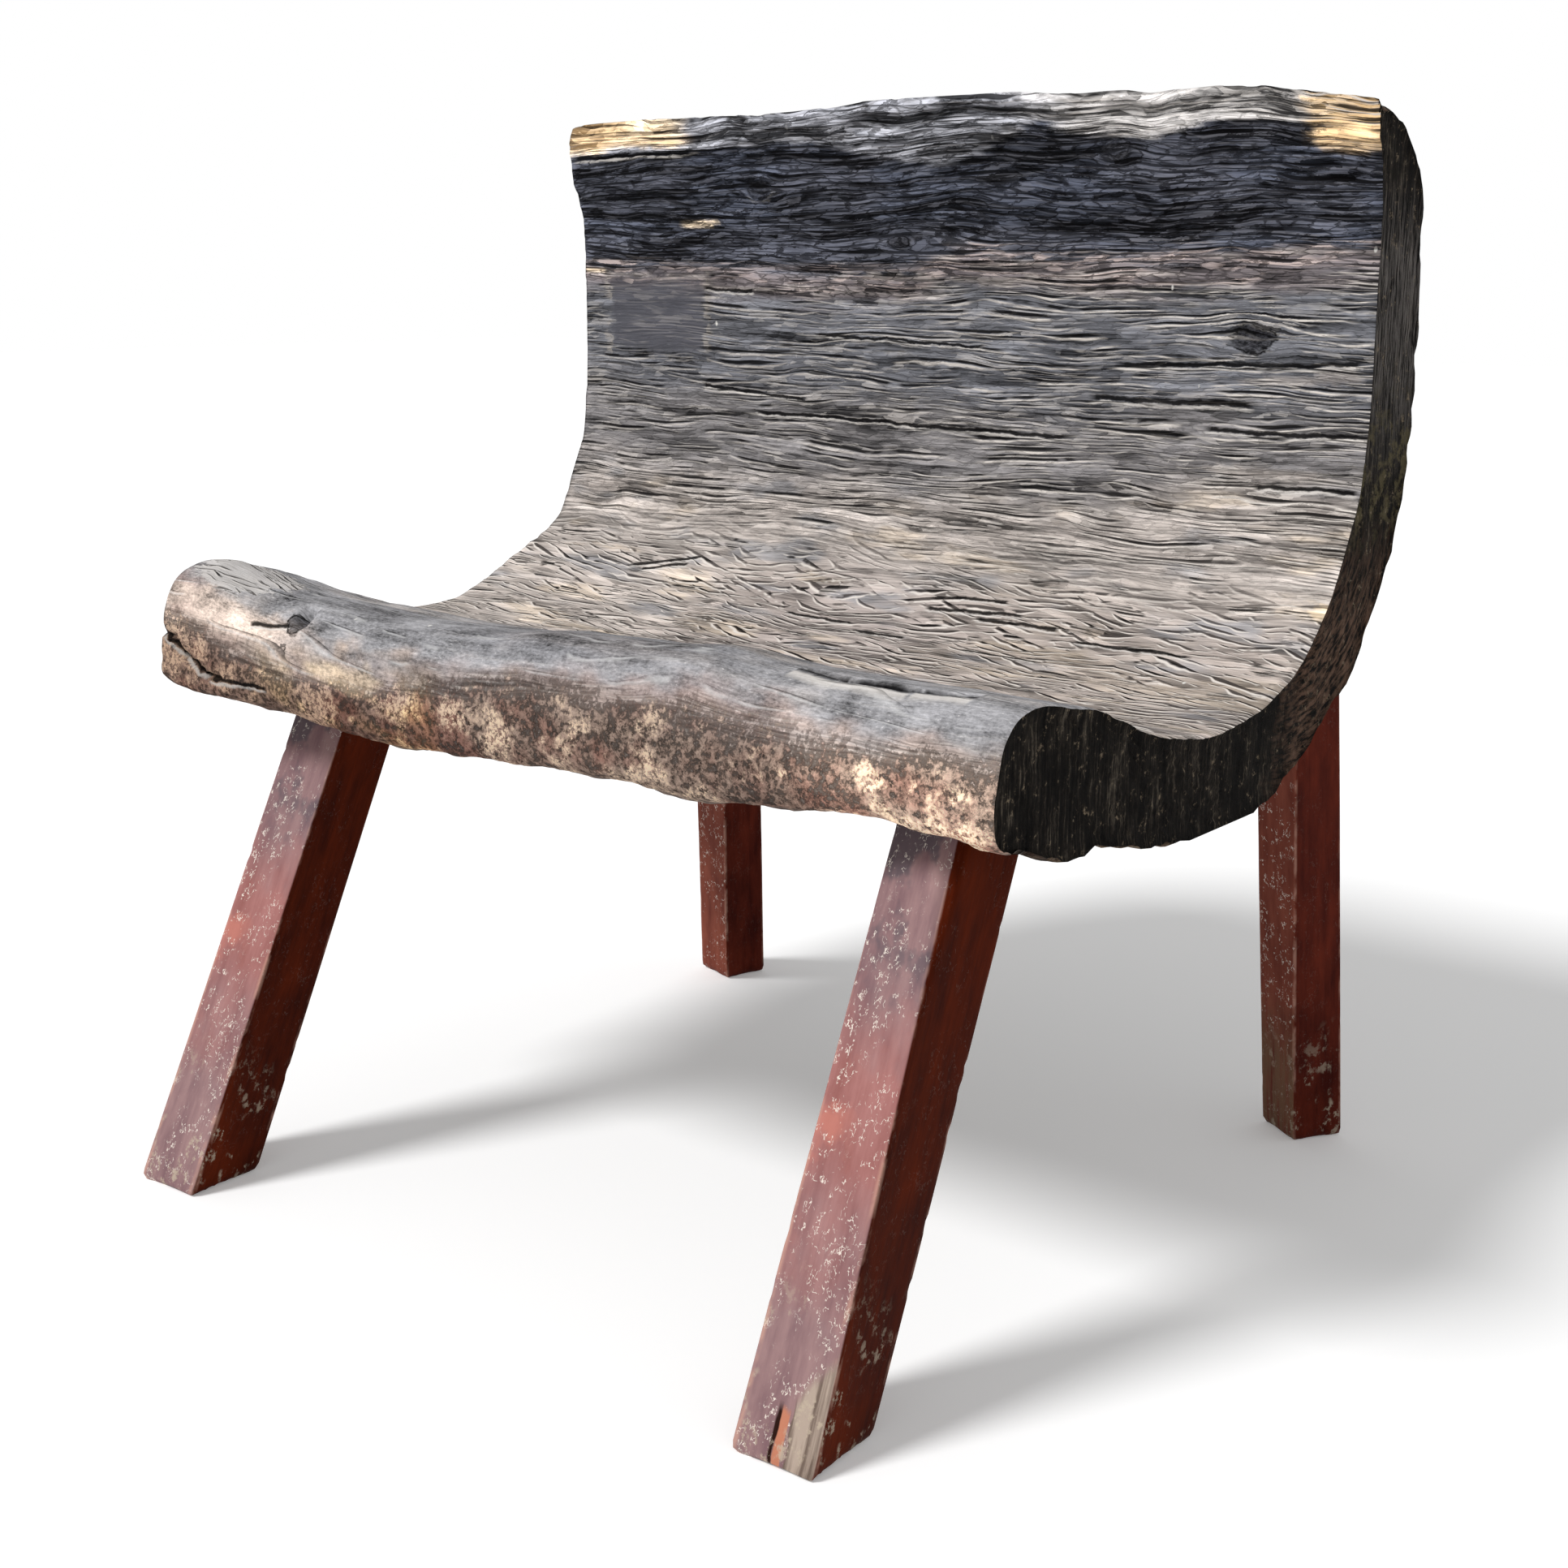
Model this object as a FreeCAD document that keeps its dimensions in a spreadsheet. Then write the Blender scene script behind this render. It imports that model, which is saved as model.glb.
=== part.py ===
import FreeCAD, Part
import math
import os
import Sketcher

# Low chair: one carved log shell on four squared legs. Millimetres, +Z up, the chair faces -Y, floor at z = 0.
# X runs along the log. Left and right are those of someone who looks at the chair from the front.

doc = FreeCAD.newDocument("log_chair")

sizes = {
    # shell, overall
    "shellLength": 756,
    "shellFront": 248,
    "seatHeight": 377,
    # shell, walls
    "backThickness": 82,
    "seatThickness": 66,
    # shell, inner curves
    "heelRadius": 200,
    "backStraight": 114,
    "curlReach": 19,
    "curlHeight": 98,
    "sweepSpan": 247,
    "sweepShare": 0.625,
    # shell, front lip
    "lipRise": 54,
    "lipRadius": 42,
    "faceBatter": 4,
    "faceHeight": 10,
    "chinReach": 27,
    "chinDrop": 32,
    # shell, outer curves
    "bellyRun": 108,
    "bellyRise": 44,
    "outerHeelRadius": 205,
    "shoulderDrop": 105,
    "crownDrop": 25,
    "crownRound": 47,
    # shell, how the log changes along its length
    "leftLift": 9,
    "middleLift": 2,
    "crownRise": 17,
    "bellyDrop": 12,
    # legs, sections
    "frontLegFoot": 57,
    "frontLegTop": 53,
    "rearLegFoot": 44,
    "rearLegTop": 42.5,
    "arrisEase": 2.5,
    # legs, centres of their shoulders, from the near end and from the front or the back of the shell
    "frontLeftEndInset": 115,
    "frontLeftSetback": 98,
    "frontRightEndInset": 69,
    "frontRightSetback": 79,
    "rearLeftEndInset": 172,
    "rearLeftSetback": 92,
    "rearRightEndInset": 37,
    "rearRightSetback": 99,
    # legs, centres of the feet, so far beyond the shoulder towards the near end, and forward or back of it
    "frontLeftSpread": 9.5,
    "frontLeftRake": 161,
    "frontRightSpread": -2.5,
    "frontRightRake": 153.5,
    "rearLeftSpread": 61,
    "rearLeftRake": 91.5,
    "rearRightSpread": -9,
    "rearRightRake": 81,
    # legs, turn about their own axis in degrees, at the foot and at the top
    "frontLeftFootTurn": 2,
    "frontLeftTopTurn": 2,
    "frontRightFootTurn": 2,
    "frontRightTopTurn": -14,
    "rearLeftFootTurn": -18,
    "rearLeftTopTurn": -12,
    "rearRightFootTurn": -33,
    "rearRightTopTurn": -21,
    # joints
    "housingCover": 4,
    "frontCollar": 40,
    "rearCollar": 56,
    "housingPlay": 0.2,
    "frontTenonDiameter": 34,
    "frontTenonLength": 44,
    "rearTenonDiameter": 28,
    "rearTenonLength": 34,
    "tenonPlay": 0.15,
    "tenonEndGap": 2,
    "tenonChamfer": 2,
    "wedgeHead": 5,
    "wedgeTip": 1,
    "frontWedgeLength": 34,
    "rearWedgeLength": 26,
    "wedgeEdgeInset": 1,
    # shared by all cuts
    "overrun": 40,
}

sheet = doc.addObject("Spreadsheet::Sheet", "Sizes")
for row, (alias, value) in enumerate(sizes.items(), 1):
    sheet.set("A%d" % row, alias)
    sheet.set("B%d" % row, str(value))
    sheet.setAlias("B%d" % row, alias)
doc.recompute()


def size(alias):
    return float(sheet.get(alias))


def makeBody(label):
    body = doc.addObject("PartDesign::Body", label)
    body.Label = label
    return body


def makeSketch(body, name, role, offset=FreeCAD.Placement()):
    sketch = body.newObject("Sketcher::SketchObject", name)
    plane = [item for item in body.Origin.OriginFeatures if item.Role == role][0]
    sketch.AttachmentSupport = [(plane, "")]
    sketch.MapMode = "FlatFace"
    sketch.AttachmentOffset = offset
    return sketch


def bind(sketch, constraint, name, formula):
    index = sketch.addConstraint(constraint)
    sketch.renameConstraint(index, name)
    sketch.setExpression("Constraints." + name, formula)


def bindPoint(sketch, edge, end, name, formulas):
    # a signed distance from the origin each way, or a place on the axis
    for kind, axis, formula in zip(("DistanceX", "DistanceY"), (-2, -1), formulas):
        if formula == "0":
            sketch.addConstraint(Sketcher.Constraint("PointOnObject", edge, end, axis))
            continue
        value = float(sketch.evalExpression(formula))
        bind(sketch, Sketcher.Constraint(kind, -1, 1, edge, end, value), name + kind, formula)


# Outline of the shell, cut across the log: sketch X is the chair's Y, sketch Y is its Z

front = "-Sizes.shellFront"
crestAlong = front + " + Sizes.faceBatter + Sizes.lipRadius"
heelAlong = crestAlong + " + Sizes.sweepSpan"
innerBack = heelAlong + " + Sizes.heelRadius"
back = innerBack + " + Sizes.backThickness"
lipTop = "Sizes.seatHeight + Sizes.lipRise"
lipFoot = lipTop + " - Sizes.lipRadius - Sizes.faceHeight"
curlFoot = "Sizes.seatHeight + Sizes.heelRadius + Sizes.backStraight"
topEdge = curlFoot + " + Sizes.curlHeight"
underside = "Sizes.seatHeight - Sizes.seatThickness"
outerHeelTop = underside + " + Sizes.outerHeelRadius + Sizes.bellyRise"
sweepRadius = "Sizes.sweepShare * (Sizes.lipRise ^ 2 + Sizes.sweepSpan ^ 2) / (2 * Sizes.lipRise)"


def sectionPoints(lift, crown, belly):
    return {
        "topArris": (innerBack + " - Sizes.curlReach", topEdge + lift + crown),
        "curlFoot": (innerBack, curlFoot + lift),
        "heelTop": (innerBack, "Sizes.seatHeight + Sizes.heelRadius" + lift),
        "heelFoot": (heelAlong, "Sizes.seatHeight" + lift),
        "lipCrest": (crestAlong, lipTop + lift),
        "faceTop": (front + " + Sizes.faceBatter", lipTop + " - Sizes.lipRadius" + lift),
        "faceFoot": (front, lipFoot + lift + belly),
        "chin": (front + " + Sizes.chinReach", lipFoot + " - Sizes.chinDrop" + lift + belly),
        "undersideEnd": (back + " - Sizes.outerHeelRadius - Sizes.bellyRun", underside + lift),
        "backFoot": (back, outerHeelTop + lift),
        "backTop": (back, topEdge + " - Sizes.shoulderDrop" + lift),
        "crownEdge": (back + " - Sizes.crownRound", topEdge + " - Sizes.crownDrop" + lift + crown),
    }


def leanRadius(aside, along):
    # radius of an arc that leaves a line and ends so far aside of it, so far along it
    return (aside * aside + along * along) / (2 * aside)


def drawSection(body, name, station, lift, crown, belly):
    sketch = makeSketch(body, name, "YZ_Plane")
    if station:
        sketch.setExpression(".AttachmentOffset.Base.z", station)
    formulas = sectionPoints(lift, crown, belly)
    at = {}
    for point, (along, up) in formulas.items():
        at[point] = FreeCAD.Vector(float(sketch.evalExpression(along)), float(sketch.evalExpression(up)), 0)

    # centres of the arcs, and the two joints where one arc runs into the next
    curl = leanRadius(at["curlFoot"].x - at["topArris"].x, at["topArris"].y - at["curlFoot"].y)
    chin = leanRadius(at["chin"].x - at["faceFoot"].x, at["faceFoot"].y - at["chin"].y)
    crownArc = leanRadius(at["backTop"].x - at["crownEdge"].x, at["crownEdge"].y - at["backTop"].y)
    sweep = float(sketch.evalExpression(sweepRadius))
    rise = at["lipCrest"].y - at["heelFoot"].y
    bothSweeps = leanRadius(rise, at["heelFoot"].x - at["lipCrest"].x)
    outer = size("outerHeelRadius")
    reach = at["backFoot"].x - outer - at["undersideEnd"].x
    climb = at["backFoot"].y - at["undersideEnd"].y
    lower = (reach * reach + climb * climb - outer * outer) / (2 * (climb - outer))
    centre = {
        "curl": at["curlFoot"] - FreeCAD.Vector(curl, 0, 0),
        "heel": FreeCAD.Vector(at["heelFoot"].x, at["heelTop"].y, 0),
        "sweep": at["heelFoot"] + FreeCAD.Vector(0, sweep, 0),
        "crest": at["lipCrest"] - FreeCAD.Vector(0, bothSweeps - sweep, 0),
        "lip": FreeCAD.Vector(at["lipCrest"].x, at["faceTop"].y, 0),
        "chin": at["faceFoot"] + FreeCAD.Vector(chin, 0, 0),
        "lowerHeel": at["undersideEnd"] + FreeCAD.Vector(0, lower, 0),
        "upperHeel": at["backFoot"] - FreeCAD.Vector(outer, 0, 0),
        "crown": at["backTop"] - FreeCAD.Vector(crownArc, 0, 0),
    }
    at["sweepJoint"] = centre["sweep"] + (centre["crest"] - centre["sweep"]) * (sweep / bothSweeps)
    outward = (centre["upperHeel"] - centre["lowerHeel"]).normalize()
    at["heelJoint"] = centre["lowerHeel"] + outward * lower

    # round the outline once, counterclockwise: from, to, arc, and which way the arc turns
    outline = [
        ("topArris", "curlFoot", "curl", -1),
        ("curlFoot", "heelTop", None, 0),
        ("heelTop", "heelFoot", "heel", -1),
        ("heelFoot", "sweepJoint", "sweep", -1),
        ("sweepJoint", "lipCrest", "crest", 1),
        ("lipCrest", "faceTop", "lip", 1),
        ("faceTop", "faceFoot", None, 0),
        ("faceFoot", "chin", "chin", 1),
        ("chin", "undersideEnd", None, 0),
        ("undersideEnd", "heelJoint", "lowerHeel", 1),
        ("heelJoint", "backFoot", "upperHeel", 1),
        ("backFoot", "backTop", None, 0),
        ("backTop", "crownEdge", "crown", 1),
        ("crownEdge", "topArris", None, 0),
    ]
    starts, ends, arcs = [], [], {}
    for index, (first, last, arc, turn) in enumerate(outline):
        if arc is None:
            sketch.addGeometry(Part.LineSegment(at[first], at[last]))
            starts.append(1)
            ends.append(2)
            continue
        low, high = (first, last) if turn > 0 else (last, first)
        spokes = [at[point] - centre[arc] for point in (low, high)]
        angles = [math.atan2(spoke.y, spoke.x) for spoke in spokes]
        if angles[1] < angles[0]:
            angles[1] += 2 * math.pi
        circle = Part.Circle(centre[arc], FreeCAD.Vector(0, 0, 1), spokes[0].Length)
        sketch.addGeometry(Part.ArcOfCircle(circle, *angles))
        arcs[arc] = index
        starts.append(1 if turn > 0 else 2)
        ends.append(2 if turn > 0 else 1)

    # edges meet end to end; the two free joints are tangent, the other points are bound to the sheet
    count = len(outline)
    for index, (first, last, arc, turn) in enumerate(outline):
        after = (index + 1) % count
        kind = "Coincident" if last in formulas else "Tangent"
        sketch.addConstraint(Sketcher.Constraint(kind, index, ends[index], after, starts[after]))
        if first in formulas:
            bindPoint(sketch, index, starts[index], first, formulas[first])
    for arc, kind, point in (
        ("curl", "Horizontal", ends), ("heel", "Vertical", ends), ("sweep", "Vertical", starts),
        ("crest", "Vertical", ends), ("lip", "Vertical", starts), ("chin", "Horizontal", starts),
        ("lowerHeel", "Vertical", starts), ("upperHeel", "Horizontal", ends), ("crown", "Horizontal", starts),
    ):
        index = arcs[arc]
        sketch.addConstraint(Sketcher.Constraint(kind, index, 3, index, point[index]))
    bind(sketch, Sketcher.Constraint("Radius", arcs["sweep"], sweep), "sweepRadius", sweepRadius)
    bind(sketch, Sketcher.Constraint("Radius", arcs["upperHeel"], outer), "outerRadius", "Sizes.outerHeelRadius")
    return sketch


shell = makeBody("seat_shell")
leftSection = drawSection(shell, "leftSection", "-Sizes.shellLength / 2", " + Sizes.leftLift", "", "")
middleSection = drawSection(
    shell, "middleSection", "", " + Sizes.middleLift", " + Sizes.crownRise", " - Sizes.bellyDrop")
rightSection = drawSection(shell, "rightSection", "Sizes.shellLength / 2", "", "", "")
log = shell.newObject("PartDesign::AdditiveLoft", "log")
log.Profile = leftSection
log.Sections = [middleSection, rightSection]
log.Ruled = False
doc.recompute()


# Legs: each stands on the floor, leans to its shoulder in the log, and ends in a round stub tenon

def undersideAt(x, y):
    # the lowest wood on the upright line through a point
    line = Part.makeLine(FreeCAD.Vector(x, y, 0), FreeCAD.Vector(x, y, log.Shape.BoundBox.ZMax))
    return log.Shape.common(line).BoundBox.ZMin


def leanTo(foot, shoulder):
    along = (shoulder - foot).normalize()
    across = FreeCAD.Vector(1, 0, 0)
    across = (across - along * across.dot(along)).normalize()
    return FreeCAD.Rotation(across, along.cross(across), along, "ZXY")


def findShoulder(foot, x, y, width, turn):
    # high enough for all four corners of the shoulder to lie inside the wood
    shoulder = FreeCAD.Vector(x, y, size("seatHeight"))
    corners = [FreeCAD.Vector(i * width / 2, j * width / 2, 0) for i in (-1, 1) for j in (-1, 1)]
    for _ in range(8):
        rotation = leanTo(foot, shoulder).multiply(FreeCAD.Rotation(FreeCAD.Vector(0, 0, 1), turn))
        offsets = [rotation.multVec(corner) for corner in corners]
        shoulder.z = max(undersideAt(x + o.x, y + o.y) - o.z for o in offsets) + size("housingCover")
    return shoulder


def turned(height, turn):
    return FreeCAD.Placement(FreeCAD.Vector(0, 0, height), FreeCAD.Rotation(FreeCAD.Vector(0, 0, 1), turn))


def drawPolygon(sketch, corners):
    spots = [FreeCAD.Vector(*[float(sketch.evalExpression(f)) for f in corner], 0) for corner in corners]
    count = len(corners)
    for index in range(count):
        sketch.addGeometry(Part.LineSegment(spots[index], spots[(index + 1) % count]))
    for index in range(count):
        sketch.addConstraint(Sketcher.Constraint("Coincident", index, 2, (index + 1) % count, 1))
        bindPoint(sketch, index, 1, "corner%d" % index, corners[index])
    return sketch


def drawSquare(body, name, offset, width):
    # a square round the origin with its four arrises eased
    half = "(" + width + ") / 2"
    inner = "(" + half + " - Sizes.arrisEase)"
    return drawPolygon(makeSketch(body, name, "XY_Plane", offset), [
        (half, "-" + inner), (half, inner), (inner, half), ("-" + inner, half),
        ("-" + half, inner), ("-" + half, "-" + inner), ("-" + inner, "-" + half), (inner, "-" + half),
    ])


def drawCircle(body, name, offset, diameter):
    sketch = makeSketch(body, name, "XY_Plane", offset)
    value = float(sketch.evalExpression(diameter))
    sketch.addGeometry(Part.Circle(FreeCAD.Vector(0, 0, 0), FreeCAD.Vector(0, 0, 1), value / 2))
    sketch.addConstraint(Sketcher.Constraint("Coincident", 0, 3, -1, 1))
    bind(sketch, Sketcher.Constraint("Diameter", 0, value), "diameter", diameter)
    return sketch


def drawTaper(body, name, top, length):
    # the wedge seen from its edge: wide at the end of the tenon, thin below
    sketch = makeSketch(body, name, "XZ_Plane", FreeCAD.Placement(FreeCAD.Vector(0, top, 0), FreeCAD.Rotation()))
    return drawPolygon(sketch, [
        ("Sizes.wedgeHead / 2", "0"), ("-Sizes.wedgeHead / 2", "0"),
        ("-Sizes.wedgeTip / 2", "-" + length), ("Sizes.wedgeTip / 2", "-" + length),
    ])


def makeLeg(pair, side, hand):
    prefix = pair + side.capitalize()
    width = "Sizes." + pair + "Leg"
    tenon = "Sizes." + pair + "Tenon"
    x = hand * (size("shellLength") / 2 - size(prefix + "EndInset"))
    facing = -1 if pair == "front" else 1
    y = float(sheet.evalExpression(front if pair == "front" else back)) - facing * size(prefix + "Setback")
    foot = FreeCAD.Vector(x + hand * size(prefix + "Spread"), y + facing * size(prefix + "Rake"), 0)
    footTurn = size(prefix + "FootTurn")
    topTurn = size(prefix + "TopTurn")
    shoulder = findShoulder(foot, x, y, size(pair + "LegTop"), topTurn)
    lean = leanTo(foot, shoulder)
    length = (shoulder - foot).Length
    tenonEnd = length + size(pair + "TenonLength")

    # timber: from below the floor to the collar, tapered and turned, then straight up to the shoulder
    leg = makeBody(pair + "_" + side + "_leg")
    leg.Placement = FreeCAD.Placement(foot, lean)
    below = drawSquare(leg, "footSection", turned(-size("overrun"), footTurn), width + "Foot")
    collar = drawSquare(leg, "collarSection", turned(length - size(pair + "Collar"), topTurn), width + "Top")
    timber = leg.newObject("PartDesign::AdditiveLoft", "timber")
    timber.Profile = below
    timber.Sections = [collar]
    timber.Ruled = True
    housed = leg.newObject("PartDesign::Pad", "housed")
    housed.Profile = collar
    housed.setExpression("Length", "Sizes." + pair + "Collar")
    stub = leg.newObject("PartDesign::Pad", "stub")
    stub.Profile = drawCircle(leg, "tenonSection", turned(length, 0), tenon + "Diameter")
    stub.setExpression("Length", tenon + "Length")
    doc.recompute()
    rim = [
        "Edge%d" % number for number, edge in enumerate(stub.Shape.Edges, 1)
        if len(edge.Vertexes) == 1 and edge.CenterOfMass.z > length + size(pair + "TenonLength") / 2
        and abs(edge.CenterOfMass.z - edge.Vertexes[0].Z) < size("tenonChamfer") / 2]
    eased = leg.newObject("PartDesign::Chamfer", "easedEnd")
    eased.Base = (stub, rim)
    eased.setExpression("Size", "Sizes.tenonChamfer")

    # foot: sawn level with the floor
    level = FreeCAD.Placement(FreeCAD.Vector(0, 0, 0), lean.inverted())
    floor = leg.newObject("PartDesign::Pocket", "floorCut")
    floor.Profile = drawSquare(leg, "floorSection", level, width + "Foot * 2")
    floor.Type = "ThroughAll"

    # kerf and wedge: both taper across the log's length, so the wedge spreads the tenon along the grain
    kerf = leg.newObject("PartDesign::Pocket", "kerf")
    kerf.Profile = drawTaper(leg, "kerfSection", tenonEnd, "Sizes." + pair + "WedgeLength")
    kerf.Type = "ThroughAll"
    kerf.Midplane = True
    wedge = makeBody(pair + "_" + side + "_wedge")
    wedge.Placement = leg.Placement
    blade = wedge.newObject("PartDesign::Pad", "blade")
    blade.Profile = drawTaper(wedge, "bladeSection", tenonEnd, "Sizes." + pair + "WedgeLength")
    blade.Midplane = True
    blade.setExpression("Length", tenon + "Diameter - 2 * Sizes.wedgeEdgeInset")

    # the log takes the leg: a square housing down from the shoulder, a round blind mortise up from it
    seat = FreeCAD.Placement(shoulder, lean)
    housing = shell.newObject("PartDesign::Pocket", prefix + "Housing")
    housing.Profile = drawSquare(
        shell, prefix + "HousingSection", seat.multiply(turned(0, topTurn)), width + "Top + 2 * Sizes.housingPlay")
    housing.Type = "ThroughAll"
    mortise = shell.newObject("PartDesign::Pocket", prefix + "Mortise")
    mortise.Profile = drawCircle(
        shell, prefix + "MortiseSection", seat, tenon + "Diameter + 2 * Sizes.tenonPlay")
    mortise.Reversed = True
    mortise.setExpression("Length", tenon + "Length + Sizes.tenonEndGap")
    doc.recompute()
    return leg, wedge


pieces = [shell]
for pair in ("front", "rear"):
    for side, hand in (("left", -1), ("right", 1)):
        pieces.extend(makeLeg(pair, side, hand))
doc.recompute()


# Every feature must be sound before anything is written

for item in doc.Objects:
    if "Invalid" in item.State or "Error" in item.State:
        raise RuntimeError(item.Label + " did not compute: " + ", ".join(item.State))
os.makedirs("parts", exist_ok=True)
for piece in pieces:
    shape = piece.Shape
    if shape.isNull() or not shape.isValid() or len(shape.Solids) != 1:
        raise RuntimeError(piece.Label + " is not one sound solid")
for piece in pieces:
    piece.Shape.exportStep("parts/" + piece.Label + ".step")
    box = piece.Shape.BoundBox
    print("%-18s %9.0f mm3  x %7.1f %7.1f  y %7.1f %7.1f  z %7.1f %7.1f" % (
        piece.Label, piece.Shape.Volume, box.XMin, box.XMax, box.YMin, box.YMax, box.ZMin, box.ZMax))
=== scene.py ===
import bpy
import math
import numpy as np
from mathutils import Matrix, Vector


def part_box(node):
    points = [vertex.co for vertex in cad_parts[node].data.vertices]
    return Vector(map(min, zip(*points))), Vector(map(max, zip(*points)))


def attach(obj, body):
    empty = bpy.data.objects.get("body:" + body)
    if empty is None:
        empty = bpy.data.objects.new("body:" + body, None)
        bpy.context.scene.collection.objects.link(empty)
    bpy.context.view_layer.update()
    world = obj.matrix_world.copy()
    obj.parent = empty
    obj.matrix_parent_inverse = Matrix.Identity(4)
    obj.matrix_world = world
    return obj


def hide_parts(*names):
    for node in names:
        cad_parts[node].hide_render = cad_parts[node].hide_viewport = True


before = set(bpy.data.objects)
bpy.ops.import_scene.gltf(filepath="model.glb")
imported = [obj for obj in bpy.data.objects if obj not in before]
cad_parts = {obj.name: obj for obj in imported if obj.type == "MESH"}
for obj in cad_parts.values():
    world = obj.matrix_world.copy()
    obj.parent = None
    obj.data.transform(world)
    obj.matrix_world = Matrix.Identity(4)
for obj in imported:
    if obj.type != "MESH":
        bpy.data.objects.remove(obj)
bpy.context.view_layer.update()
print("frame loaded")


class Notes:
    pass  # what one step of a piece hands on to the next


# Noise and curves

def latticeNoise(points, seed):
    # smooth noise from -1 to 1, one cell per unit; the large numbers scatter the bits of each corner's code
    cell = np.floor(points).astype(np.int64)
    part = points - cell
    eased = part * part * part * (part * (part * 6 - 15) + 10)
    total = np.zeros(len(points))
    for corner in range(8):
        step = np.array([corner & 1, corner >> 1 & 1, corner >> 2 & 1])
        key = cell + step
        code = key[:, 0] * 374761393 + key[:, 1] * 668265263 + key[:, 2] * 362437 + seed * 974634777
        code = code & 0xFFFFFFFF
        code = (code ^ code >> 13) * 1274126177 & 0xFFFFFFFF
        code = (code ^ code >> 15) * 2246822519 & 0xFFFFFFFF
        code = code ^ code >> 16
        total += (code / 0x7FFFFFFF - 1) * np.prod(np.where(step, eased, 1 - eased), axis=1)
    return total


def layeredNoise(points, seed, layers=3, gain=0.5):
    total, strength, size = 0, 1.0, 0.0
    for layer in range(layers):
        total = total + strength * latticeNoise(points * 2.03 ** layer, seed + 17 * layer)
        size += strength
        strength *= gain
    return total / size


def ease(share):
    return share * share * (3 - 2 * share)


def ramp(values, low, high):
    return ease(np.clip((values - low) / (high - low), 0, 1))


def band(values, start, end, soft):
    return ramp(values, start - soft, start + soft) * (1 - ramp(values, end - soft, end + soft))


def curveAt(anchors, places):
    # a smooth curve through the anchors, read at fractional anchor numbers
    points = np.asarray(anchors, float)
    last = len(points) - 1
    index = np.clip(np.floor(places).astype(int), 0, last - 1)
    share = (places - index)[:, None]
    one, two = points[index], points[index + 1]
    before = np.where((index > 0)[:, None], points[np.maximum(index - 1, 0)], 2 * one - two)
    after = np.where((index < last - 1)[:, None], points[np.minimum(index + 2, last)], 2 * two - one)
    return 0.5 * (
        2 * one + (two - before) * share + (2 * before - 5 * one + 4 * two - after) * share ** 2
        + (3 * one - before - 3 * two + after) * share ** 3)


def evenPlaces(anchors, count):
    fine = np.linspace(0, len(anchors) - 1, 4000)
    steps = np.linalg.norm(np.diff(curveAt(anchors, fine), axis=0), axis=1)
    run = np.concatenate([[0], np.cumsum(steps)])
    return np.interp(np.linspace(0, run[-1], count), run, fine), run[-1]


def profile(pairs, values):
    # a value that changes along the log, eased between the given places
    places, heights = (np.array(column, float) for column in zip(*pairs))
    index = np.clip(np.searchsorted(places, values) - 1, 0, len(places) - 2)
    share = ease(np.clip((values - places[index]) / (places[index + 1] - places[index]), 0, 1))
    return heights[index] * (1 - share) + heights[index + 1] * share


def linear(red, green, blue):
    # a colour as the eye sees it, 0 to 255, as the amount of light
    shares = (red / 255, green / 255, blue / 255)
    return [c / 12.92 if c <= 0.04045 else ((c + 0.055) / 1.055) ** 2.4 for c in shares]


# The carved log, in millimetres

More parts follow.
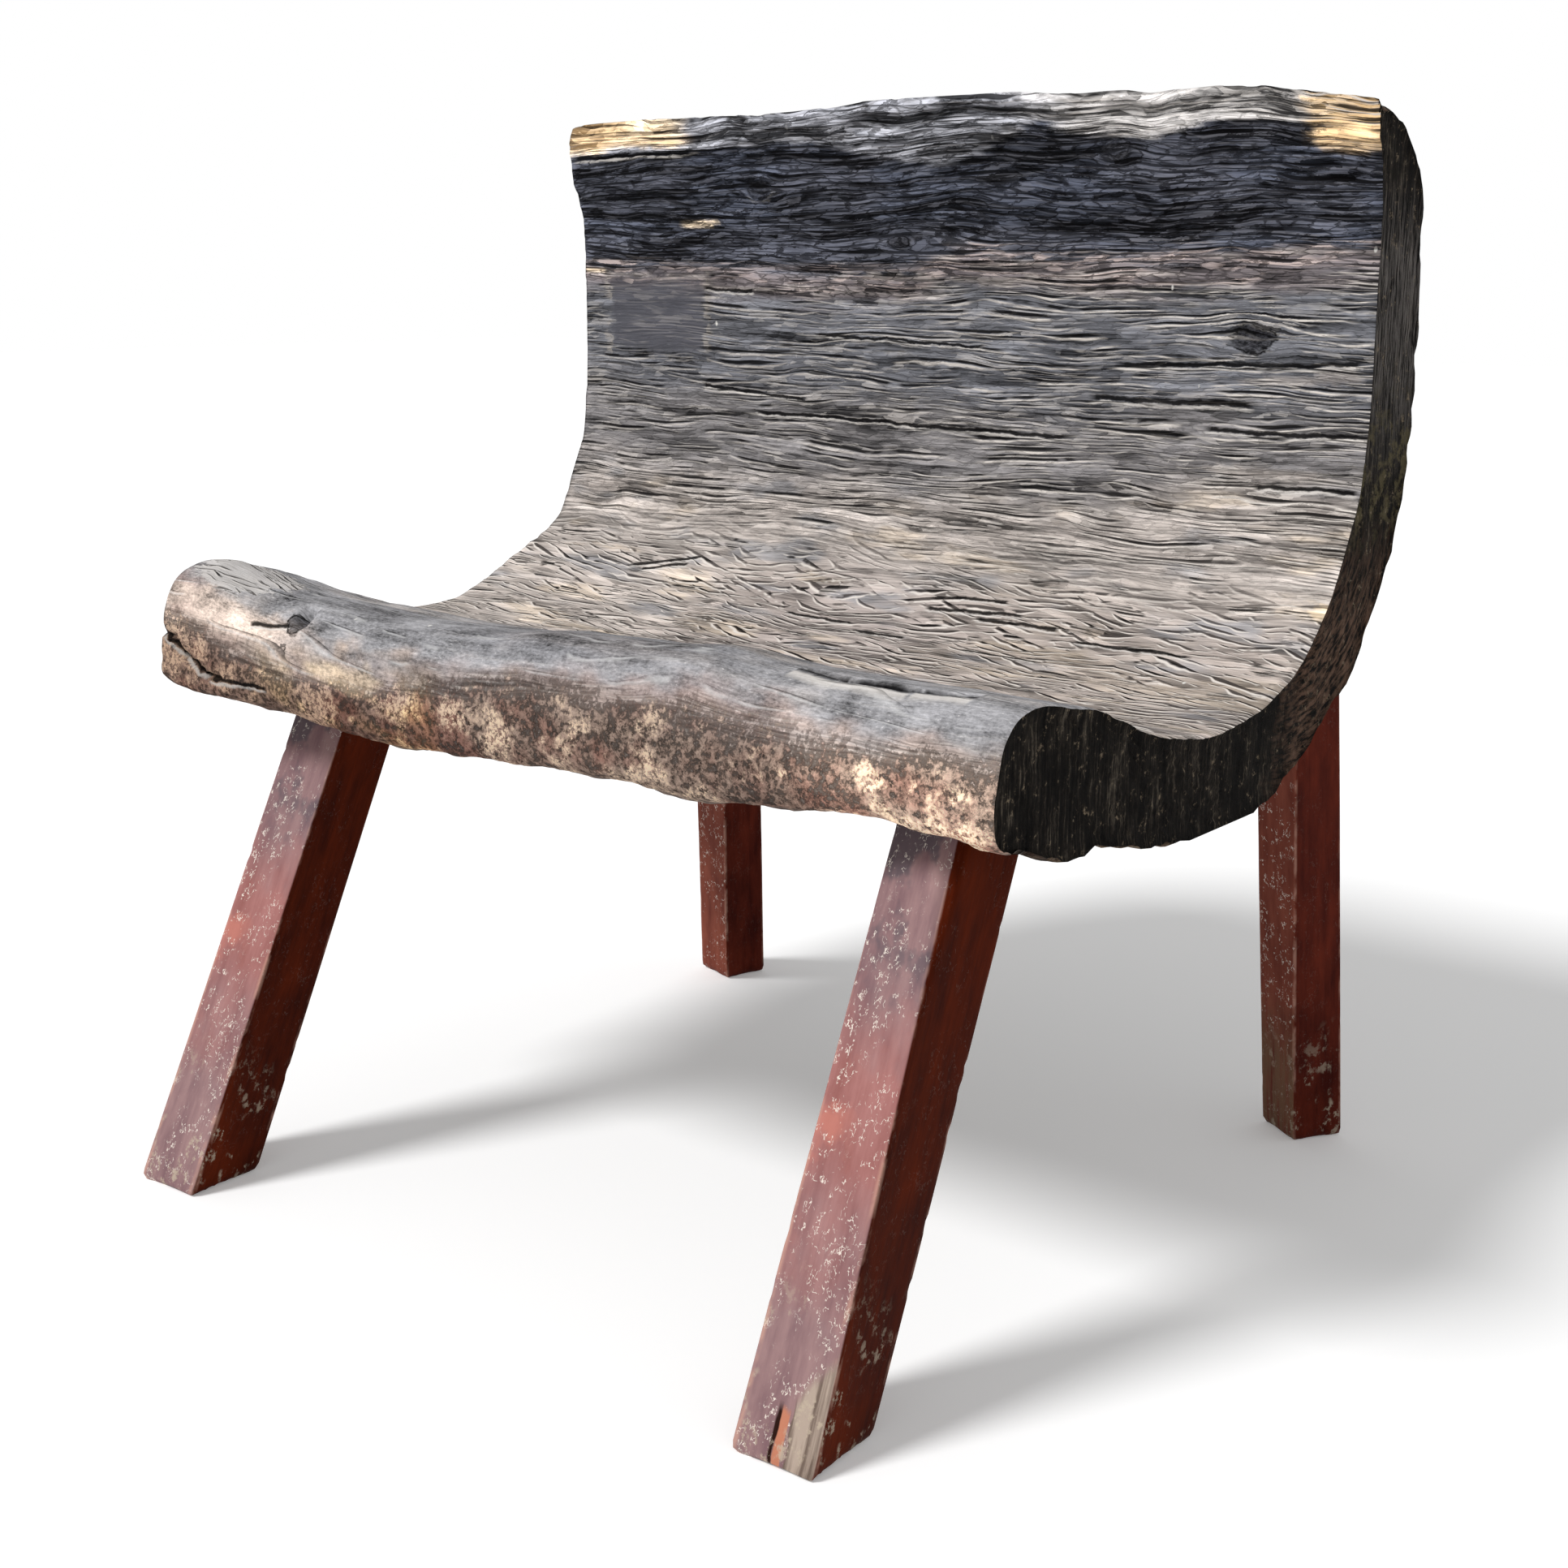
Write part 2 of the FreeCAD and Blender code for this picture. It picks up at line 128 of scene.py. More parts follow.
shellSettings = {
    # x is the place along the log, run the way from the top arris down the hollow side and up the bark side
    "seed": 11,
    "halfLength": 378.0,
    "acrossHollow": 290,  # mesh steps round the hollow side, two for each one on the bark side
    "acrossBark": 145,
    "alongSteps": 216,
    "endRows": 12,
    "box": ((-247.8, 326.8), (311.2, 808.1)),  # the log stays inside these, y and z
    # how much higher the log lies at its left end and in its middle, and how far its crown and belly bow
    "leftLift": 9,
    "middleLift": 2,
    "crownRise": 17,
    "bellyDrop": 12,
    # section at the right end, the hollow side from the top arris down to the chin, then the bark side (y, z)
    "hollowSide": [
        (227, 789), (234, 768), (240, 747), (246, 715), (247, 680), (246, 640), (245, 580), (242, 550),
        (235, 520), (220, 492), (200, 458), (178, 428), (142, 400), (94, 384), (35, 377), (-14, 381),
        (-60, 391), (-91, 403), (-131, 418), (-160, 425), (-190, 430), (-210, 430), (-226, 425), (-237, 413),
        (-243, 398), (-246, 382), (-246, 366), (-240, 354), (-226, 348)],
    "barkSide": [
        (-226, 348), (-193, 345), (-158, 341), (-111, 334), (-60, 323), (-13, 317), (30, 315), (64, 316),
        (106, 324), (155, 342), (198, 363), (238, 390), (271, 433), (297, 471), (310, 504), (318, 535),
        (321, 575), (321, 630), (317, 675), (316, 715), (309, 735), (294, 752), (276, 765), (252, 776),
        (227, 789)],
    # how the log differs along its length (x, millimetres up)
    "topEdge": [
        (-378, -1.5), (-298, -3), (-239, -6), (-199, -6), (-168, -8), (-137, -7.5), (-80, -6), (-52, -3.5),
        (4, -1), (45, 0.5), (84, -0.5), (133, -2.5), (182, -0.5), (203, -2.5), (228, 0), (260, 3), (294, 4),
        (336, 1.5), (378, 0)],
    "crest": [
        (-378, 8), (-350, 8), (-330, 5), (-300, 0), (-250, -6), (-160, -10), (-58, -8), (10, 0), (80, 2),
        (144, 6), (200, 0), (378, 0)],
    "chin": [
        (-378, -4), (-345, -5), (-300, -2), (-240, -1), (-139, -4), (-60, 1), (-34, 4), (45, 7), (98, 7),
        (125, 6), (152, 4), (202, 8), (240, 10), (285, 12), (330, 6), (378, 0)],
    # millimetres out of the wood by run: all along, then at the left end and under the right end only
    "allAlong": [
        (0, 0), (40, 2), (120, 2), (200, 0.5), (255, 0), (290, -3.5), (340, -3.5), (380, 0), (890, 0),
        (960, 3.5), (1240, 4.5), (1330, 3), (1400, 6.5), (1480, 7), (1560, 5), (1690, 5.5), (1730, 5),
        (1780, 7), (1820, 8), (1853, 1)],
    "leftEnd": [
        (0, 2), (10, 7), (25, 11), (45, 12), (60, 9), (75, 6), (100, 4.5), (130, 3), (150, 1.5), (240, 2),
        (262, 0), (285, -1), (315, -3), (335, -6), (355, -8), (372, -5), (385, 0), (400, 5), (425, 9),
        (450, 8), (480, 3), (500, 0)],
    "underRight": [
        (900, 0), (930, 3), (975, 8), (1010, 3), (1080, 1), (1130, 5), (1200, 5), (1260, 6), (1330, 2),
        (1400, 0)],
    # where one finish gives way to the next, along the log (x, run)
    "topBand": [
        (-378, 20), (-230, 24), (-150, 22), (-40, 38), (10, 46), (110, 22), (190, 27), (256, 18), (330, 22),
        (350, 34), (378, 34)],
    "charEdge": [
        (-378, 119), (-300, 119), (-210, 122), (-38, 124), (40, 103), (186, 111), (254, 105), (378, 99)],
    "blueEdge": [
        (-378, 800), (-282, 832), (-190, 832), (-102, 838), (-24, 833), (46, 823), (118, 822), (184, 824),
        (248, 832), (378, 830)],
    "barkEdge": [
        (-378, 835), (-282, 846), (-150, 852), (-22, 842), (52, 838), (188, 841), (308, 841), (378, 838)],
    # and where it does so at the same run all along
    "middleEnd": (205, 255),
    "lowEnd": (290, 345),
    "heelEnd": (345, 420),
    "seatStart": (320, 400),
    "rollStart": 708,
    # knots, hollows and ledges: x, run, reach along, reach across, millimetres out
    "marks": [
        (286, 167, 17, 9, -3.5), (286, 167, 9, 5, 2.0), (170, 38, 16, 9, 2.0), (-174, 60, 16, 10, 1.8),
        (-26, 104, 9, 4, -4), (248, 250, 16, 12, 3.5), (268, 219, 34, 4, -4), (158, 308, 18, 14, 3.0),
        (-334, 332, 26, 16, -6), (-342, 349, 24, 7, 3), (-232, 150, 8, 26, -2.0), (-206, 133, 26, 5, -3),
        (-226, 810, 9, 12, -9), (-250, 824, 20, 7, -5), (-284, 806, 26, 14, -3), (-350, 775, 30, 16, 3),
        (-336, 878, 60, 10, 4), (-50, 14, 34, 7, -6), (40, 12, 60, 6, -7), (190, 10, 26, 6, -5)],
    # splits: x and run from point to point, width, depth
    "splits": [
        ([(-378, 850), (-362, 852), (-350, 861), (-334, 864), (-322, 870), (-306, 869)], 1.9, 6),
        ([(210, 772), (250, 784), (290, 786), (334, 777)], 3.5, 5)],
    # stains: x, run, reach along, reach across, tone, how strong
    "stains": [
        (-242, 84, 22, 3, "cream", 0.7), (-364, 126, 14, 3, "cream", 0.9), (286, 167, 18, 9, "soot", 0.9),
        (374, 370, 10, 7, "cream", 0.9), (-170, 848, 44, 10, "cream", 0.55), (306, 266, 54, 5, "heel", 0.8),
        (40, 127, 150, 2.5, "heel", 0.6), (-60, 140, 90, 2.5, "streak", 0.5), (330, 196, 60, 3, "heel", 0.6)],
    # patterns: cell size along, out and up, seed, layers, gain
    "patterns": {
        "drift": ((60, 18, 18), 1, 3, 0.5), "smallDrift": ((18, 7, 7), 2, 3, 0.5),
        "rollStart": ((50, 40, 40), 3, 3, 0.5), "bendOut": ((90, 60, 60), 4, 1, 0.5),
        "bendUp": ((110, 50, 50), 5, 1, 0.5), "wide": ((280, 14, 14), 6, 4, 0.6),
        "fine": ((170, 7, 7), 7, 3, 0.6), "plates": ((190, 13, 13), 8, 3, 0.55),
        "lumps": ((26, 15, 15), 9, 3, 0.55), "swell": ((150, 70, 70), 10, 2, 0.5),
        "pits": ((22, 9, 9), 12, 2, 0.5), "grooves": ((90, 40, 40), 13, 1, 0.5),
        "adzed": ((38, 14, 14), 14, 3, 0.55), "worn": ((70, 26, 26), 15, 2, 0.5),
        "crust": ((9, 7, 7), 16, 2, 0.5), "knobs": ((30, 16, 16), 18, 2, 0.5),
        "barkGrit": ((12, 9, 9), 19, 2, 0.5), "cloud": ((120, 50, 50), 20, 3, 0.5),
        "streaks": ((90, 5, 5), 21, 3, 0.5), "blueChar": ((100, 30, 30), 22, 2, 0.5),
        "soot": ((90, 16, 16), 23, 3, 0.5), "creamEdge": ((16, 16, 16), 24, 3, 0.5),
        "ragged": ((110, 6.5, 6.5), 25, 2, 0.5), "cloudy": ((55, 28, 28), 26, 4, 0.6),
        "rosy": ((60, 30, 30), 27, 3, 0.5), "gold": ((40, 22, 22), 28, 3, 0.5),
        "tint": ((90, 22, 22), 29, 4, 0.6), "saw": ((3.2, 3.2, 160), 30, 3, 0.5),
        "sawSwell": ((30, 30, 30), 31, 3, 0.5)},
}

tones = {
    "topGrey": (146, 147, 154), "topPale": (206, 202, 200), "cream": (255, 230, 196), "char": (71, 73, 82),
    "charBlue": (72, 76, 88), "gold": (192, 170, 140), "rosy": (196, 172, 162), "blush": (228, 208, 194),
    "mist": (160, 150, 146), "smoke": (138, 138, 142), "blond": (206, 190, 172), "honey": (236, 196, 140),
    "russet": (126, 106, 96), "dusty": (192, 182, 175), "darkBark": (160, 146, 138), "soot": (34, 35, 40),
    "pink": (114, 107, 109), "streak": (190, 180, 176), "slate": (114, 115, 121), "ash": (126, 123, 124),
    "heel": (180, 171, 165), "seat": (174, 163, 156), "rollBlue": (150, 149, 152), "mauve": (166, 146, 141),
    "bark": (144, 129, 122), "under": (84, 74, 66), "back": (92, 80, 68), "tan": (172, 158, 141),
}


def pattern(name, points):
    cell, seed, layers, gain = shellSettings["patterns"][name]
    return layeredNoise(points / np.array(cell, float), shellSettings["seed"] + seed, layers, gain)


def sweepLog():
    # the plain log: one section swept from the left end to the right, in rings of points
    s = shellSettings
    log = Notes()
    placesIn, log.hollowRun = evenPlaces(s["hollowSide"], s["acrossHollow"] + 1)
    placesOut, log.barkRun = evenPlaces(s["barkSide"], s["acrossBark"] + 1)
    section = np.vstack([curveAt(s["hollowSide"], placesIn), curveAt(s["barkSide"], placesOut)[1:-1]])
    log.run = np.concatenate([
        np.linspace(0, log.hollowRun, s["acrossHollow"] + 1),
        log.hollowRun + np.linspace(0, log.barkRun, s["acrossBark"] + 1)[1:-1]])
    log.stations = np.linspace(-s["halfLength"], s["halfLength"], s["alongSteps"] + 1)
    log.shape = (len(log.stations), len(section))
    x = np.repeat(log.stations, len(section))
    v = np.tile(log.run, len(log.stations))
    y = np.tile(section[:, 0], len(log.stations))
    z = np.tile(section[:, 1], len(log.stations))
    share = x / s["halfLength"]
    onTop = ramp(z, 660, 790)
    onCrest = band(v, 700, 840, 60)
    onChin = band(v, 850, 1000, 25)
    slope = s["leftLift"] / 2
    z = z + s["middleLift"] - slope * share + (slope - s["middleLift"]) * share ** 2
    z = z + s["crownRise"] * (1 - share ** 2) * onTop - s["bellyDrop"] * (1 - share ** 2) * onChin
    z = z + profile(s["topEdge"], x) * onTop + profile(s["crest"], x) * onCrest
    z = z + profile(s["chin"], x) * onChin
    log.x, log.v, log.points = x, v, np.stack([x, y, z], axis=1)
    grid = log.points.reshape(*log.shape, 3)
    forward = np.roll(grid, -1, axis=1) - np.roll(grid, 1, axis=1)
    outward = np.stack([np.zeros(log.shape), forward[:, :, 2], -forward[:, :, 1]], axis=2)
    log.outward = (outward / np.linalg.norm(outward, axis=2)[:, :, None]).reshape(-1, 3)
    return log


def spreadFinishes(log):
    # how much of each finish the wood has at each point, from 0 to 1, in order down the hollow side
    s, x, v, points = shellSettings, log.x, log.v, log.points
    log.drift = 7 * pattern("drift", points) + 4 * pattern("smallDrift", points)
    bend = [0 * x, 3 * pattern("bendOut", points), 5 * pattern("bendUp", points)]
    log.grain = points + np.stack(bend, axis=1)
    log.ragged = 11 * pattern("ragged", log.grain)
    log.charEdge = profile(s["charEdge"], x)
    log.drifted = v + log.drift  # the run, with a wavy outline for what follows it
    log.torn = v + 0.5 * log.drift + log.ragged  # and with a torn one
    log.isBark = ramp(v, log.hollowRun - 12, log.hollowRun + 10)
    log.hollow = 1 - log.isBark
    topEdge = profile(s["topBand"], x)
    log.topBand = 1 - ramp(v + 0.25 * log.drift + 0.6 * log.ragged, topEdge - 2, topEdge + 2)
    log.pastChar = ramp(log.torn, log.charEdge - 3, log.charEdge + 5)
    log.char = (1 - log.topBand) * (1 - log.pastChar)
    log.pink = log.pastChar * (1 - ramp(log.drifted + log.ragged, log.charEdge + 18, log.charEdge + 34))
    pastMiddle, pastLow = ramp(log.drifted, *s["middleEnd"]), ramp(log.drifted, *s["lowEnd"])
    log.middle = ramp(log.drifted, log.charEdge + 22, log.charEdge + 40) * (1 - pastMiddle)
    log.low = pastMiddle * (1 - pastLow)
    log.heel = pastLow * (1 - ramp(log.drifted, *s["heelEnd"]))
    rollStart = s["rollStart"] + 26 * pattern("rollStart", points)
    log.roll = ramp(v, rollStart - 10, rollStart + 14) * log.hollow
    log.seat = ramp(log.drifted, *s["seatStart"]) * (1 - log.roll) * log.hollow
    log.cloudy = 26 * pattern("cloudy", points)
    blueEdge, barkEdge = profile(s["blueEdge"], x), profile(s["barkEdge"], x)
    log.mauve = ramp(v + log.cloudy, blueEdge - 14, blueEdge + 14) * log.roll
    early = v + 0.5 * log.cloudy - 8 * (1 - ramp(x, -230, -90))
    log.lichen = ramp(early, barkEdge - 20, barkEdge + 14) * log.hollow * (1 - ramp(v, 905, 925))
    log.ledge = band(log.torn, log.charEdge - 4, log.charEdge + 20, 5) * log.hollow


def carveMarks(log, relief):
    # single marks, on the hollow side only
    s, x, v = shellSettings, log.x, log.v
    onSide = v < log.hollowRun + 30
    for place, down, reachX, reachV, lift in s["marks"]:
        far = ((x - place) / reachX) ** 2 + ((v - down) / reachV) ** 2
        relief += lift * np.exp(-1.6 * far ** 1.6) * onSide
    for path, width, depth in s["splits"]:
        for (x0, v0), (x1, v1) in zip(path, path[1:]):
            part = ((x - x0) * (x1 - x0) + (v - v0) * (v1 - v0)) / ((x1 - x0) ** 2 + (v1 - v0) ** 2)
            part = np.clip(part, 0, 1)
            far = np.hypot(x - x0 - part * (x1 - x0), v - v0 - part * (v1 - v0))
            relief -= depth * np.exp(-(far / width) ** 2) * onSide


def carveRelief(log):
    # bark, cracks and worn wood, in millimetres out of the plain log
    s, x, v, points = shellSettings, log.x, log.v, log.points
    wide, fine = pattern("wide", log.grain), pattern("fine", log.grain)
    steps = np.round(pattern("plates", log.grain) * 3.2) / 3.2
    lumps = pattern("lumps", points)
    pits = ramp(pattern("pits", points), 0.25, 0.6)
    relief = pattern("swell", points) * (1 - 0.4 * log.isBark)
    rough = log.char + 0.75 * log.topBand + 0.4 * log.pink + 0.22 * log.middle
    rough = np.clip(rough + 0.34 * log.low + 0.34 * log.heel + 0.2 * log.seat, 0, 1)
    relief += rough * (1.5 * steps + 1.1 * wide + 0.9 * fine)
    relief -= rough * 2.4 * (1 - ramp(np.abs(wide), 0.0, 0.11)) * ramp(pattern("grooves", points), -0.3, 0.4)
    relief -= (0.9 * log.char + 0.4 * log.topBand + 0.25 * log.low) * 2.4 * pits
    relief += 2.2 * log.topBand * log.hollow
    relief += log.seat * 1.2 * pattern("adzed", log.grain)
    relief += log.roll * (1 - log.lichen) * (1.6 * pattern("worn", points) + 0.4 * fine)
    relief += log.lichen * (1.6 * lumps + 0.9 * pattern("crust", points))
    knobs = ramp(pattern("knobs", points), -0.1, 0.5)
    grit = pattern("barkGrit", points)
    relief += log.isBark * (1.6 * lumps + 1.4 * wide + 1.4 * steps - 4.2 * knobs + 1.2 * grit)
    relief += profile(s["allAlong"], v) + (1 - ramp(x, -378, -150)) * profile(s["leftEnd"], v)
    relief += ramp(x, 250, 360) * profile(s["underRight"], v)
    carveMarks(log, relief)
    relief -= 1.2 * (1 - ramp(s["halfLength"] - np.abs(x), 0, 5))  # the sawn edges are eased
    log.points = points + log.outward * relief[:, None]
    for axis, (low, high) in zip((1, 2), s["box"]):
        log.points[:, axis] = np.clip(log.points[:, axis], low, high)

    # how far each point stands above what lies around it
    sheet = relief.reshape(log.shape)
    nearby = sum(np.roll(sheet, k, axis=1) for k in range(-4, 5)) / 9
    nearby = sum(np.roll(nearby, k, axis=0) for k in range(-2, 3)) / 5
    log.hill = np.clip((sheet - nearby).ravel() * (1 - 0.5 * log.roll), -2.2, 2.2)


def paintLog(log):
    # tones of the wood, each laid over those before it, then painted shade and highlight by the relief
    s, x, v, drifted, points = shellSettings, log.x, log.v, log.drifted, log.points
    colours = np.tile(np.array(linear(*tones["seat"])), (len(x), 1))

    def paint(name, share):
        colours[:] += (np.array(linear(*tones[name])) - colours) * np.clip(share, 0, 1)[:, None]

    cloud = pattern("cloud", points)
    streaks, tint = pattern("streaks", log.grain), pattern("tint", log.grain)
    paint("tan", ramp(cloud, 0.0, 0.5) * 0.5)
    paint("dusty", band(v + 60 * cloud, 610, 700, 20) * 0.6)
    paint("mist", band(x + 60 * streaks, -110, 110, 60) * 0.7)
    paint("dusty", (1 - ramp(x + 60 * streaks, -190, -90)) * 0.8)
    paint("heel", 1 - ramp(drifted, 340, 420))
    paint("smoke", ramp(tint, 0.12, 0.42) * 0.75)
    paint("blond", ramp(-tint, 0.15, 0.45) * 0.7)
    paler = 34 * ramp(x + 50 * streaks, 150, 320)
    paint("ash", 1 - ramp(drifted + 20 * cloud + paler, 275, 330))
    paint("slate", 1 - ramp(drifted + 30 * cloud + 0.5 * paler, 205, 250))
    paint("pink", log.pink)
    paint("streak", log.pink * ramp(streaks, 0.12, 0.4))

    # burnt wood and the bleached top edge
    paint("char", 1 - log.pastChar)
    paint("charBlue", log.char * ramp(pattern("blueChar", points), 0.0, 0.4))
    sooty = pattern("soot", points) + 0.3 * ramp(x, -150, 50) - 0.15
    paint("soot", log.char * ramp(sooty, 0.1, 0.5) * 0.6)
    paint("soot", log.char * band(x + 60 * cloud, -90, 190, 60) * 0.3)
    paint("topGrey", log.topBand)
    paint("topPale", log.topBand * ramp(x + 60 * streaks, 60, 160))
    creamLeft = (1 - ramp(x + 14 * streaks, -262, -232)) * (1 - ramp(drifted, 17, 23))
    creamRight = ramp(x + 30 * streaks + 14 * pattern("creamEdge", points), 318, 344)
    creamRight = creamRight * (1 - ramp(drifted, 30, 38))
    log.cream = np.maximum(creamLeft, creamRight)
    paint("cream", log.cream)
    paint("honey", creamRight * 0.7 + creamLeft * ramp(tint, 0.0, 0.3) * 0.5)

    # front roll, from its worn crest down to bark and lichen
    paint("rollBlue", log.roll * (1 - 0.4 * ramp(cloud, 0, 0.5)))
    paint("charBlue", log.roll * band(x + 60 * cloud, -60, 170, 40) * (1 - ramp(v, 800, 830)) * 0.22)
    paint("mauve", log.mauve)
    pale = ramp(v + log.cloudy, 806, 822) * (1 - ramp(v, 850, 866)) * (1 - ramp(x + 30 * cloud, -270, -190))
    paint("blush", pale * 0.9)
    paint("rosy", log.mauve * ramp(pattern("rosy", points), 0.0, 0.35) * 0.7)
    paint("bark", log.lichen)
    paint("darkBark", log.lichen * band(x, -70, 230, 50))
    paint("russet", log.lichen * (1 - ramp(x + 40 * cloud, -190, -90)) * 0.6)
    golden = band(x + 40 * cloud, -255, -75, 22) * ramp(pattern("gold", points), -0.25, 0.25)
    paint("gold", (0.35 * log.lichen + 0.5 * log.mauve) * golden)
    paint("blush", log.lichen * ramp(x + 40 * cloud, 190, 260) * 0.9)
    paint("under", ramp(v, 893, 912))
    paint("back", ramp(v, 930, 1000))
    for place, down, reachX, reachV, tone, amount in s["stains"]:
        far = np.hypot((x + 8 * streaks - place) / reachX, (drifted - down) / reachV)
        paint(tone, amount * (1 - ramp(far, 0.75, 1.1)) * (v < log.hollowRun))

    # painted shade in the hollows and painted highlight on the ridges, by how far each point stands above
    # what lies around it
    return colours * np.clip(1 + 0.16 * log.hill, 0.45, 1.4)[:, None]


def sawEnd(spots, side):
    # sinks the points of a sawn end a little, in saw marks and in curls round the heel
    saw = pattern("saw", spots[:, [1, 1, 2]]) + 0.7 * pattern("sawSwell", spots)
    growth = np.hypot(spots[:, 1] - 205, (spots[:, 2] - 395) * 0.8) / 7
    curl = np.exp(-((spots[:, 1] - 190) / 60) ** 2 - ((spots[:, 2] - 400) / 50) ** 2)
    sink = 1.3 + 1.1 * saw + 1.4 * curl * np.sin(growth + 2 * saw)
    spots[:, 0] = side * (shellSettings["halfLength"] - np.clip(sink, 0.05, 6))


def closeEnds(log, index, vertices, attributes):
    # fills both sawn ends with rows between the hollow side and the bark side, and returns their faces
    s = shellSettings
    total = len(log.points)
    faces = []
    for ring, side in ((0, -1), (len(log.stations) - 1, 1)):
        innerRow = index[ring, :s["acrossHollow"] + 1]
        barkRow = index[ring, s["acrossHollow"] + 1:][::-1]
        outerRow = np.concatenate([innerRow[:1], barkRow, innerRow[-1:]])
        innerSecond = innerRow[::2]
        rows = [innerSecond]
        for row in range(1, s["endRows"]):
            part = row / s["endRows"]
            spots = (log.points[innerSecond] * (1 - part) + log.points[outerRow] * part)[1:-1]
            sawEnd(spots, side)
            rows.append(np.concatenate([innerRow[:1], total + np.arange(len(spots)), innerRow[-1:]]))
            total += len(spots)
            vertices.append(spots)
            attributes["tone"].append(np.tile((*linear(*tones["under"]), 0.0), (len(spots), 1)))
            attributes["finish"].append(np.zeros((len(spots), 3)))
            attributes["roll"].append(np.zeros((len(spots), 3)))
        rows.append(outerRow)
        for row, (one, two) in enumerate(zip(rows, rows[1:])):
            for k in range(s["acrossBark"]):
                near = innerRow[2 * k:2 * k + 3].tolist() if row == 0 else [one[k], one[k + 1]]
                corners = near + [two[k + 1], two[k]]
                corners = [corner for n, corner in enumerate(corners) if corner != corners[n - 1]]
                if len(set(corners)) > 2:
                    faces.append(corners if side < 0 else corners[::-1])
    return faces


def buildLogMesh(log, colours):
    s = shellSettings
    index = np.arange(len(log.points)).reshape(log.shape)
    a, b = index[:-1], index[1:]
    sides = np.stack([a, np.roll(a, -1, 1), np.roll(b, -1, 1), b], axis=-1).reshape(-1, 4).tolist()

    # where each corner lies along the log and down its run, for the materials
    left, right = log.stations[:-1, None], log.stations[1:, None]
    nextRun = np.append(log.run[1:], log.hollowRun + log.barkRun)
    places = [left, log.run, left, nextRun, right, nextRun, right, log.run]
    places = np.stack([np.broadcast_to(place, a.shape) for place in places], axis=-1).reshape(-1, 2)
    burnt = np.clip(log.char + log.topBand * (0.75 - 0.55 * ramp(log.x, 60, 160)), 0, 1)
    # the tone holds the log's colours, with painted shade in the hollows and painted highlight on the ridges,
    # and the ledge in its fourth place
    attributes = {
        "tone": [np.hstack([colours, log.ledge[:, None]])],
        "finish": [np.stack([burnt, log.seat, log.lichen], axis=1)],
        "roll": [np.stack([log.roll * (1 - log.lichen), log.isBark, log.cream], axis=1)]}
    vertices = [log.points]
    ends = closeEnds(log, index, vertices, attributes)

    mesh = bpy.data.meshes.new("shell")
    mesh.from_pydata((np.vstack(vertices) / 1000).tolist(), [], sides + ends)
    for name, values in attributes.items():
        layer = mesh.attributes.new(name, "FLOAT_COLOR", "POINT")
        data = np.vstack(values)
        if data.shape[1] == 3:
            data = np.hstack([data, np.ones((len(data), 1))])
        layer.data.foreach_set("color", data.ravel())
    layer = mesh.attributes.new("place", "FLOAT_VECTOR", "CORNER")
    spread = np.zeros((len(mesh.loops), 3))
    spread[:len(places), :2] = places
    layer.data.foreach_set("vector", spread.ravel())
    mesh.polygons.foreach_set("material_index", [0] * len(sides) + [1] * len(ends))
    mesh.polygons.foreach_set("use_smooth", [True] * (len(sides) + len(ends)))
    mesh.validate()
    return mesh


def makeShell():
    log = sweepLog()
    spreadFinishes(log)
    carveRelief(log)
    shell = bpy.data.objects.new("log_shell", buildLogMesh(log, paintLog(log)))
    bpy.context.scene.collection.objects.link(shell)
    return shell


# Nodes of the materials. All go into the tree that was started last

work = {}


def startTree(owner):
    owner.use_nodes = True
    work["tree"] = owner.node_tree
    owner.node_tree.nodes.clear()
    return owner


def startMaterial(name):
    return startTree(bpy.data.materials.new(name))


def add(kind, inputs=None, **settings):
    node = work["tree"].nodes.new(kind)
    for name, value in settings.items():
        setattr(node, name, value)
    for name, value in (inputs or {}).items():
        if isinstance(value, bpy.types.NodeSocket):
            work["tree"].links.new(value, node.inputs[name])
        else:
            node.inputs[name].default_value = value
    return node


def maths(operation, one, two=0.0, three=0.0, clamp=False):
    return add("ShaderNodeMath", {0: one, 1: two, 2: three}, operation=operation, use_clamp=clamp).outputs[0]


def plus(one, two):
    return maths("ADD", one, two)


def minus(one, two, clamp=False):
    return maths("SUBTRACT", one, two, clamp=clamp)


def times(*values, clamp=False):
    total = values[0]
    for value in values[1:]:
        total = maths("MULTIPLY", total, value, clamp=clamp)
    return total


def timesPlus(value, factor, rest):
    return maths("MULTIPLY_ADD", value, factor, rest)


def largest(*values):
    top = values[0]
    for value in values[1:]:
        top = maths("MAXIMUM", top, value)
    return top


def absolute(value):
    return maths("ABSOLUTE", value)


def reach(value, low, high, start=0.0, end=1.0):
    return add("ShaderNodeMapRange", {0: value, 1: low, 2: high, 3: start, 4: end}).outputs[0]


def between(share, one, two):
    return add("ShaderNodeMix", {0: share, 2: one, 3: two}).outputs[0]


def blend(share, one, two, mode="MIX"):
    shades = [value if isinstance(value, bpy.types.NodeSocket) else (*value[:3], 1) for value in (one, two)]
    inputs = {0: share, 6: shades[0], 7: shades[1]}
    return add("ShaderNodeMix", inputs, data_type="RGBA", blend_type=mode, clamp_factor=True).outputs[2]


def scaled(shade, amount):
    return add("ShaderNodeVectorMath", {0: shade, "Scale": amount}, operation="SCALE").outputs[0]


def vector(one, two, three=0.0):
    return add("ShaderNodeCombineXYZ", {0: one, 1: two, 2: three}).outputs[0]


def parts(value):
    return tuple(add("ShaderNodeSeparateXYZ", {0: value}).outputs)


def noise(place, detail=3.0, roughness=0.55, scale=1.0):
    inputs = {"Vector": place, "Scale": scale, "Detail": detail, "Roughness": roughness, "Distortion": 0.0}
    return add("ShaderNodeTexNoise", inputs, noise_dimensions="3D").outputs[0]


